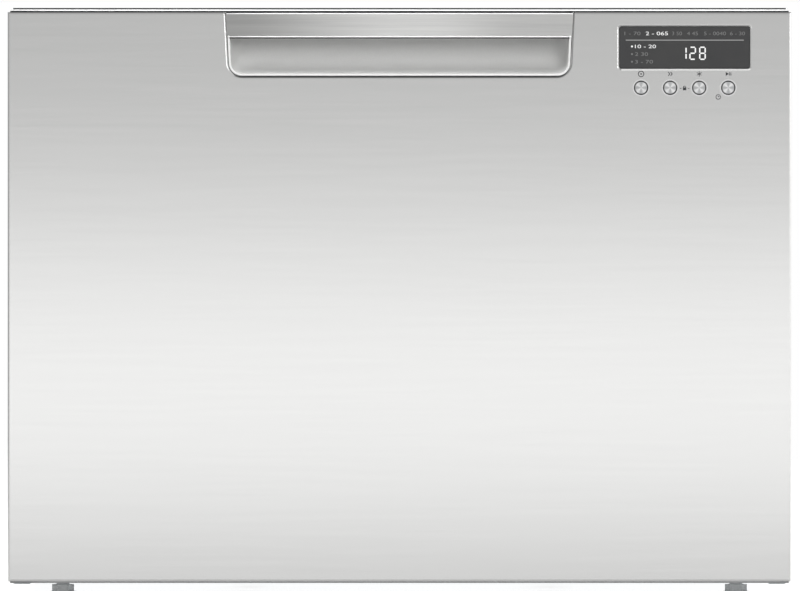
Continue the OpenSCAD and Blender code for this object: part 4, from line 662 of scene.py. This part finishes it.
def glowing(name, level):
    """A lit mark: it adds its own white light and hardly mirrors anything."""
    made, tree = material(name)
    shader = add(tree, "BsdfPrincipled", Base_Color=linear("#303030"), Roughness=0.5,
                 Emission_Color=(1, 1, 1, 1), Emission_Strength=level)
    add(tree, "OutputMaterial", Surface=shader)
    return made


def at(px, py):
    """X and Z of a point that is measured in the photograph's pixels."""
    return (px - PANEL_MIDDLE_PX) * PX, PANEL_FOOT_Z + (PANEL_FOOT_PX - py) * PX


def printed(name, outlines, finish, y):
    """Flat marks as closed thin prisms: outlines are lists of X, Z points, anticlockwise
    as seen from the front."""
    verts, faces = [], []
    for outline in outlines:
        outline = np.asarray(outline)
        base, n = sum(map(len, verts)), len(outline)
        verts += [deep(outline, y), deep(outline, y + PRINT_THICK)]
        faces += [range(base, base + n), range(base + 2 * n - 1, base + n - 1, -1)]
        faces += [(base + n + k, base + n + (k + 1) % n, base + (k + 1) % n, base + k)
                  for k in range(n)]
    made = piece(name, np.vstack(verts), [list(face) for face in faces], finish, "drawer",
                 smooth=False)


def bar_mark(x0, z0, x1, z1, width):
    """A straight stroke between two points, half its width to each side."""
    way = np.array([x1 - x0, z1 - z0])
    across = np.array([way[1], -way[0]]) / np.linalg.norm(way) * width / 2
    start, end = np.array([x0, z0]), np.array([x1, z1])
    return [start + across, end + across, end - across, start - across]


def disc_mark(x, z, r, steps=20):
    """A filled round dot: points at equal turns on a circle."""
    turn = np.linspace(0, 2 * math.pi, steps, endpoint=False)
    return np.column_stack([x + r * np.cos(turn), z + r * np.sin(turn)])


def ring_marks(x, z, r, width, start=0.0, stop=360.0, steps=28):
    """A ring, or a part of one, as short touching strokes between two circles."""
    turn = np.radians(np.linspace(start, stop, steps + 1))
    round_way = np.column_stack([np.cos(turn), np.sin(turn)])
    inner = (x, z) + (r - width / 2) * round_way
    outer = (x, z) + (r + width / 2) * round_way
    return [[outer[k], outer[k + 1], inner[k + 1], inner[k]] for k in range(steps)]


def numerals(name, words, px, py, width_px, height_px, finish):
    """Plain figures as a thin mesh, fitted to a width and a height; px, py is their
    middle in the photograph."""
    data = bpy.data.curves.new(name, "FONT")
    data.body = words
    data.extrude = 0.02
    shape = bpy.data.objects.new(name + "_outline", data)
    bpy.context.scene.collection.objects.link(shape)
    bpy.context.view_layer.update()
    mesh = bpy.data.meshes.new_from_object(shape.evaluated_get(
        bpy.context.evaluated_depsgraph_get()))
    bpy.data.objects.remove(shape)
    welded = bmesh.new()
    welded.from_mesh(mesh)
    bmesh.ops.remove_doubles(welded, verts=welded.verts, dist=0.0001)
    welded.to_mesh(mesh)
    welded.free()
    flat = np.empty(len(mesh.vertices) * 3)
    mesh.vertices.foreach_get("co", flat)
    flat = flat.reshape(-1, 3)
    low, high = flat.min(0), flat.max(0)
    x, z = at(px, py)
    span = (flat - (low + high) / 2) / (high - low)
    co = np.column_stack([x + span[:, 0] * width_px * PX, DISPLAY_Y - span[:, 2] * PRINT_THICK,
                          z + span[:, 1] * height_px * PX])
    mesh.vertices.foreach_set("co", co.ravel())
    mesh.materials.clear()
    mesh.materials.append(finish)
    made = bpy.data.objects.new(name, mesh)
    bpy.context.scene.collection.objects.link(made)
    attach(made, "drawer")


# Light-emitting segments: the chosen figures are nearly white, the others just show.
lit = glowing("lit_display_mark", 0.95)
unlit = glowing("dim_display_mark", 0.14)
# Each programme: its figures, and its left and right ends in the photograph.
PROGRAMME_ROW_PX = 33.4
PROGRAMMES = (("1 - 70", 624.5, 640.5), ("2 - 065", 645.7, 668), ("3 50", 672, 682),
              ("4 45", 687, 698), ("5 - 0040", 704, 726), ("6 - 30", 730, 745))
for number, (words, left, right) in enumerate(PROGRAMMES, 1):
    numerals("programme_%d" % number, words, (left + right) / 2, PROGRAMME_ROW_PX,
             right - left, 3.6, lit if number == 2 else unlit)
# Each option: its figures and its right end; the three start at one place, after a dot.
OPTION_DOT_PX = 632
OPTION_LEFT_PX = 635
OPTION_TOP_PX = 46.4
OPTION_PITCH_PX = 7.65
OPTIONS = (("10 - 20", 656), ("2 30", 648), ("3 - 70", 653))
for row, (words, right) in enumerate(OPTIONS):
    row_px = OPTION_TOP_PX + OPTION_PITCH_PX * row
    finish = lit if row == 0 else unlit
    numerals("option_%d" % (row + 1), words, (OPTION_LEFT_PX + right) / 2, row_px,
             right - OPTION_LEFT_PX, 3.5, finish)
    printed("option_dot_%d" % (row + 1), [disc_mark(*at(OPTION_DOT_PX, row_px), 0.75 * MM)],
            finish, DISPLAY_Y)
rule_ends = (*at(625.8, 40.1), *at(743.9, 40.1))
printed("display_rule", [bar_mark(*rule_ends, 0.75 * MM)], glowing("dim_display_rule", 0.26),
        DISPLAY_Y)

# The minutes: figures made of seven strokes each, cut square.
STROKES = {"1": "bc", "2": "abged", "8": "abcdefg"}
STROKE_CUT = 0.45 * MM
STROKE_WIDTH = 1.0 * MM
FIGURES_TOP_PX = 47.2
FIGURES_FOOT_PX = 59.2


def seven_strokes(figure, px, width_px):
    """The strokes of one figure; a is the top one and g the middle one."""
    left, high = at(px, FIGURES_TOP_PX)
    right, low = at(px + width_px, FIGURES_FOOT_PX)
    middle = (high + low) / 2
    ends = {"a": (left, high, right, high), "g": (left, middle, right, middle),
            "d": (left, low, right, low), "b": (right, high, right, middle),
            "c": (right, middle, right, low), "f": (left, high, left, middle),
            "e": (left, middle, left, low)}
    marks = []
    for stroke in STROKES[figure]:
        x0, z0, x1, z1 = ends[stroke]
        way = np.array([x1 - x0, z1 - z0])
        way *= STROKE_CUT / np.linalg.norm(way)
        marks.append(bar_mark(x0 + way[0], z0 + way[1], x1 - way[0], z1 - way[1],
                              STROKE_WIDTH))
    return marks


minutes = [stroke for figure, px, width_px in (("1", 682.5, 3.6), ("2", 690.0, 5.4),
                                               ("8", 699.8, 5.4))
           for stroke in seven_strokes(figure, px, width_px)]
printed("minutes", minutes, lit, DISPLAY_Y)

# ---- Buttons ----
# Four turned aluminium caps flush with the panel, each with a thin black ring in the gap
# round it, a painted shadow of the gap. The lathe's rings are 0.5 mm apart; each face carries
# a painted highlight in four soft wedges, and a painted shade darkens the chamfer round it.
RING_R = 5.27 * MM
# Fine concentric lines in the colour, with the painted wedge highlight and the painted chamfer
# shade.
turned, tree = material("turned_aluminium_cap")
axes = add(tree, "SeparateXYZ", coords(tree, 1, 1, 1))
off_x = add(tree, "Math WRAP", axes.outputs["X"], BUTTON_XS[0] + PITCH / 2,
            BUTTON_XS[0] - PITCH / 2)
off_x = add(tree, "Math SUBTRACT", off_x, BUTTON_XS[0])
off_z = add(tree, "Math SUBTRACT", axes.outputs["Z"], BUTTON_Z)
angle = add(tree, "Math ARCTAN2", off_z, off_x)
painted_wedge_highlight = add(tree, "Math COSINE", add(tree, "Math MULTIPLY_ADD", angle, 4.0, math.pi))
reach = add(tree, "VectorMath LENGTH", add(tree, "CombineXYZ", X=off_x, Z=off_z))
reach = reach.outputs["Value"]
groove = add(tree, "Math SINE", add(tree, "Math MULTIPLY", reach, 2 * math.pi * per_m(0.5)))
tone = add(tree, "Math MULTIPLY_ADD", groove, 0.18, painted_wedge_highlight)
tone = add(tree, "MapRange", tone, -1.0, 1.0, 0.0, 1.0)
face = add(tree, "Mix", tone, _6=linear("#bcbdbe"), _7=linear("#f4f4f4"), data_type="RGBA")
chamfer_shade = add(tree, "MapRange", reach, 4.35 * MM, 4.7 * MM, 1.0, 0.3)
colour = add(tree, "VectorMath SCALE", Vector=face.outputs[2], Scale=chamfer_shade)
shader = add(tree, "BsdfPrincipled", Metallic=0.85, Roughness=0.3, Base_Color=colour,
             Normal=add(tree, "Bump", Strength=0.3, Distance=0.00001, Height=groove))
add(tree, "OutputMaterial", Surface=shader)
dress(turned, *BUTTONS)
circle = disc_mark(0, 0, RING_R, 40)
# Each thin black ring in the gap round a cap is a painted shadow.
for name, x in zip(BUTTONS, BUTTON_XS):
    ring = bead(name + "_gap_shadow_ring", circle + (x, BUTTON_Z), 0.22 * MM, FACE_Y + 0.6 * MM,
                rubber, "drawer", closed=True)

# ---- Printed signs ----
# Dark grey screen print on the steel over each button: a power ring, two chevrons, a
# star and play with pause; a lock between the middle two and a small clock by the last.
# Their sizes are in millimetres from the middle of each sign.
INK_Y = FACE_Y - PRINT_THICK
LINE = 0.6
SIGN_ROW_PX = 73.9
LOCK_PX = (684.6, 88.4)
CLOCK_PX = (718.3, 96.9)
STAR_R = 2.1
# Baked ink, dull beside the steel.
ink, tree = material("screen_print_ink")
shader = add(tree, "BsdfPrincipled", Base_Color=linear("#2a2c2e"), Roughness=0.6)
add(tree, "OutputMaterial", Surface=shader)


def sign(name, x, z, marks):
    """Printed marks on the panel round a middle, from outlines in millimetres."""
    printed("sign_" + name, [np.asarray(mark) * MM + (x, z) for mark in marks], ink, INK_Y)


sign_z = at(0, SIGN_ROW_PX)[1]
sign("power", BUTTON_XS[0], sign_z, ring_marks(0, 0, 2.1, LINE) + [disc_mark(0, 0, 0.62)])
chevrons = []
for left in (-1.5, 0.3):
    chevrons += [bar_mark(left, 1.5, left + 1.3, 0, LINE),
                 bar_mark(left + 1.3, 0, left, -1.5, LINE)]
sign("mode", BUTTON_XS[1], sign_z, chevrons)
tips = [(STAR_R * math.cos(turn), STAR_R * math.sin(turn)) for turn in np.radians((90, 30, 150))]
sign("star", BUTTON_XS[2], sign_z, [bar_mark(-x, -z, x, z, LINE * 0.8) for x, z in tips])
play = [(-1.9, -1.5), (0.4, 0), (-1.9, 1.5)]
sign("start", BUTTON_XS[3], sign_z, [play] + [bar_mark(x, -1.2, x, 1.2, LINE)
                                              for x in (0.8, 2.0)])
sign("lock", *at(*LOCK_PX), [bar_mark(-1.3, -0.3, 1.3, -0.3, 2.2)]
     + ring_marks(0, 0.8, 0.95, 0.5, 0, 180, 12)
     + [bar_mark(side * 3.6, 0, side * 2.4, 0, 0.5) for side in (-1, 1)])
sign("clock", *at(*CLOCK_PX), ring_marks(0, 0, 1.75, 0.5)
     + [bar_mark(0, 1.0, 0, 0, 0.45), bar_mark(0, 0, 0.8, 0.6, 0.45)])
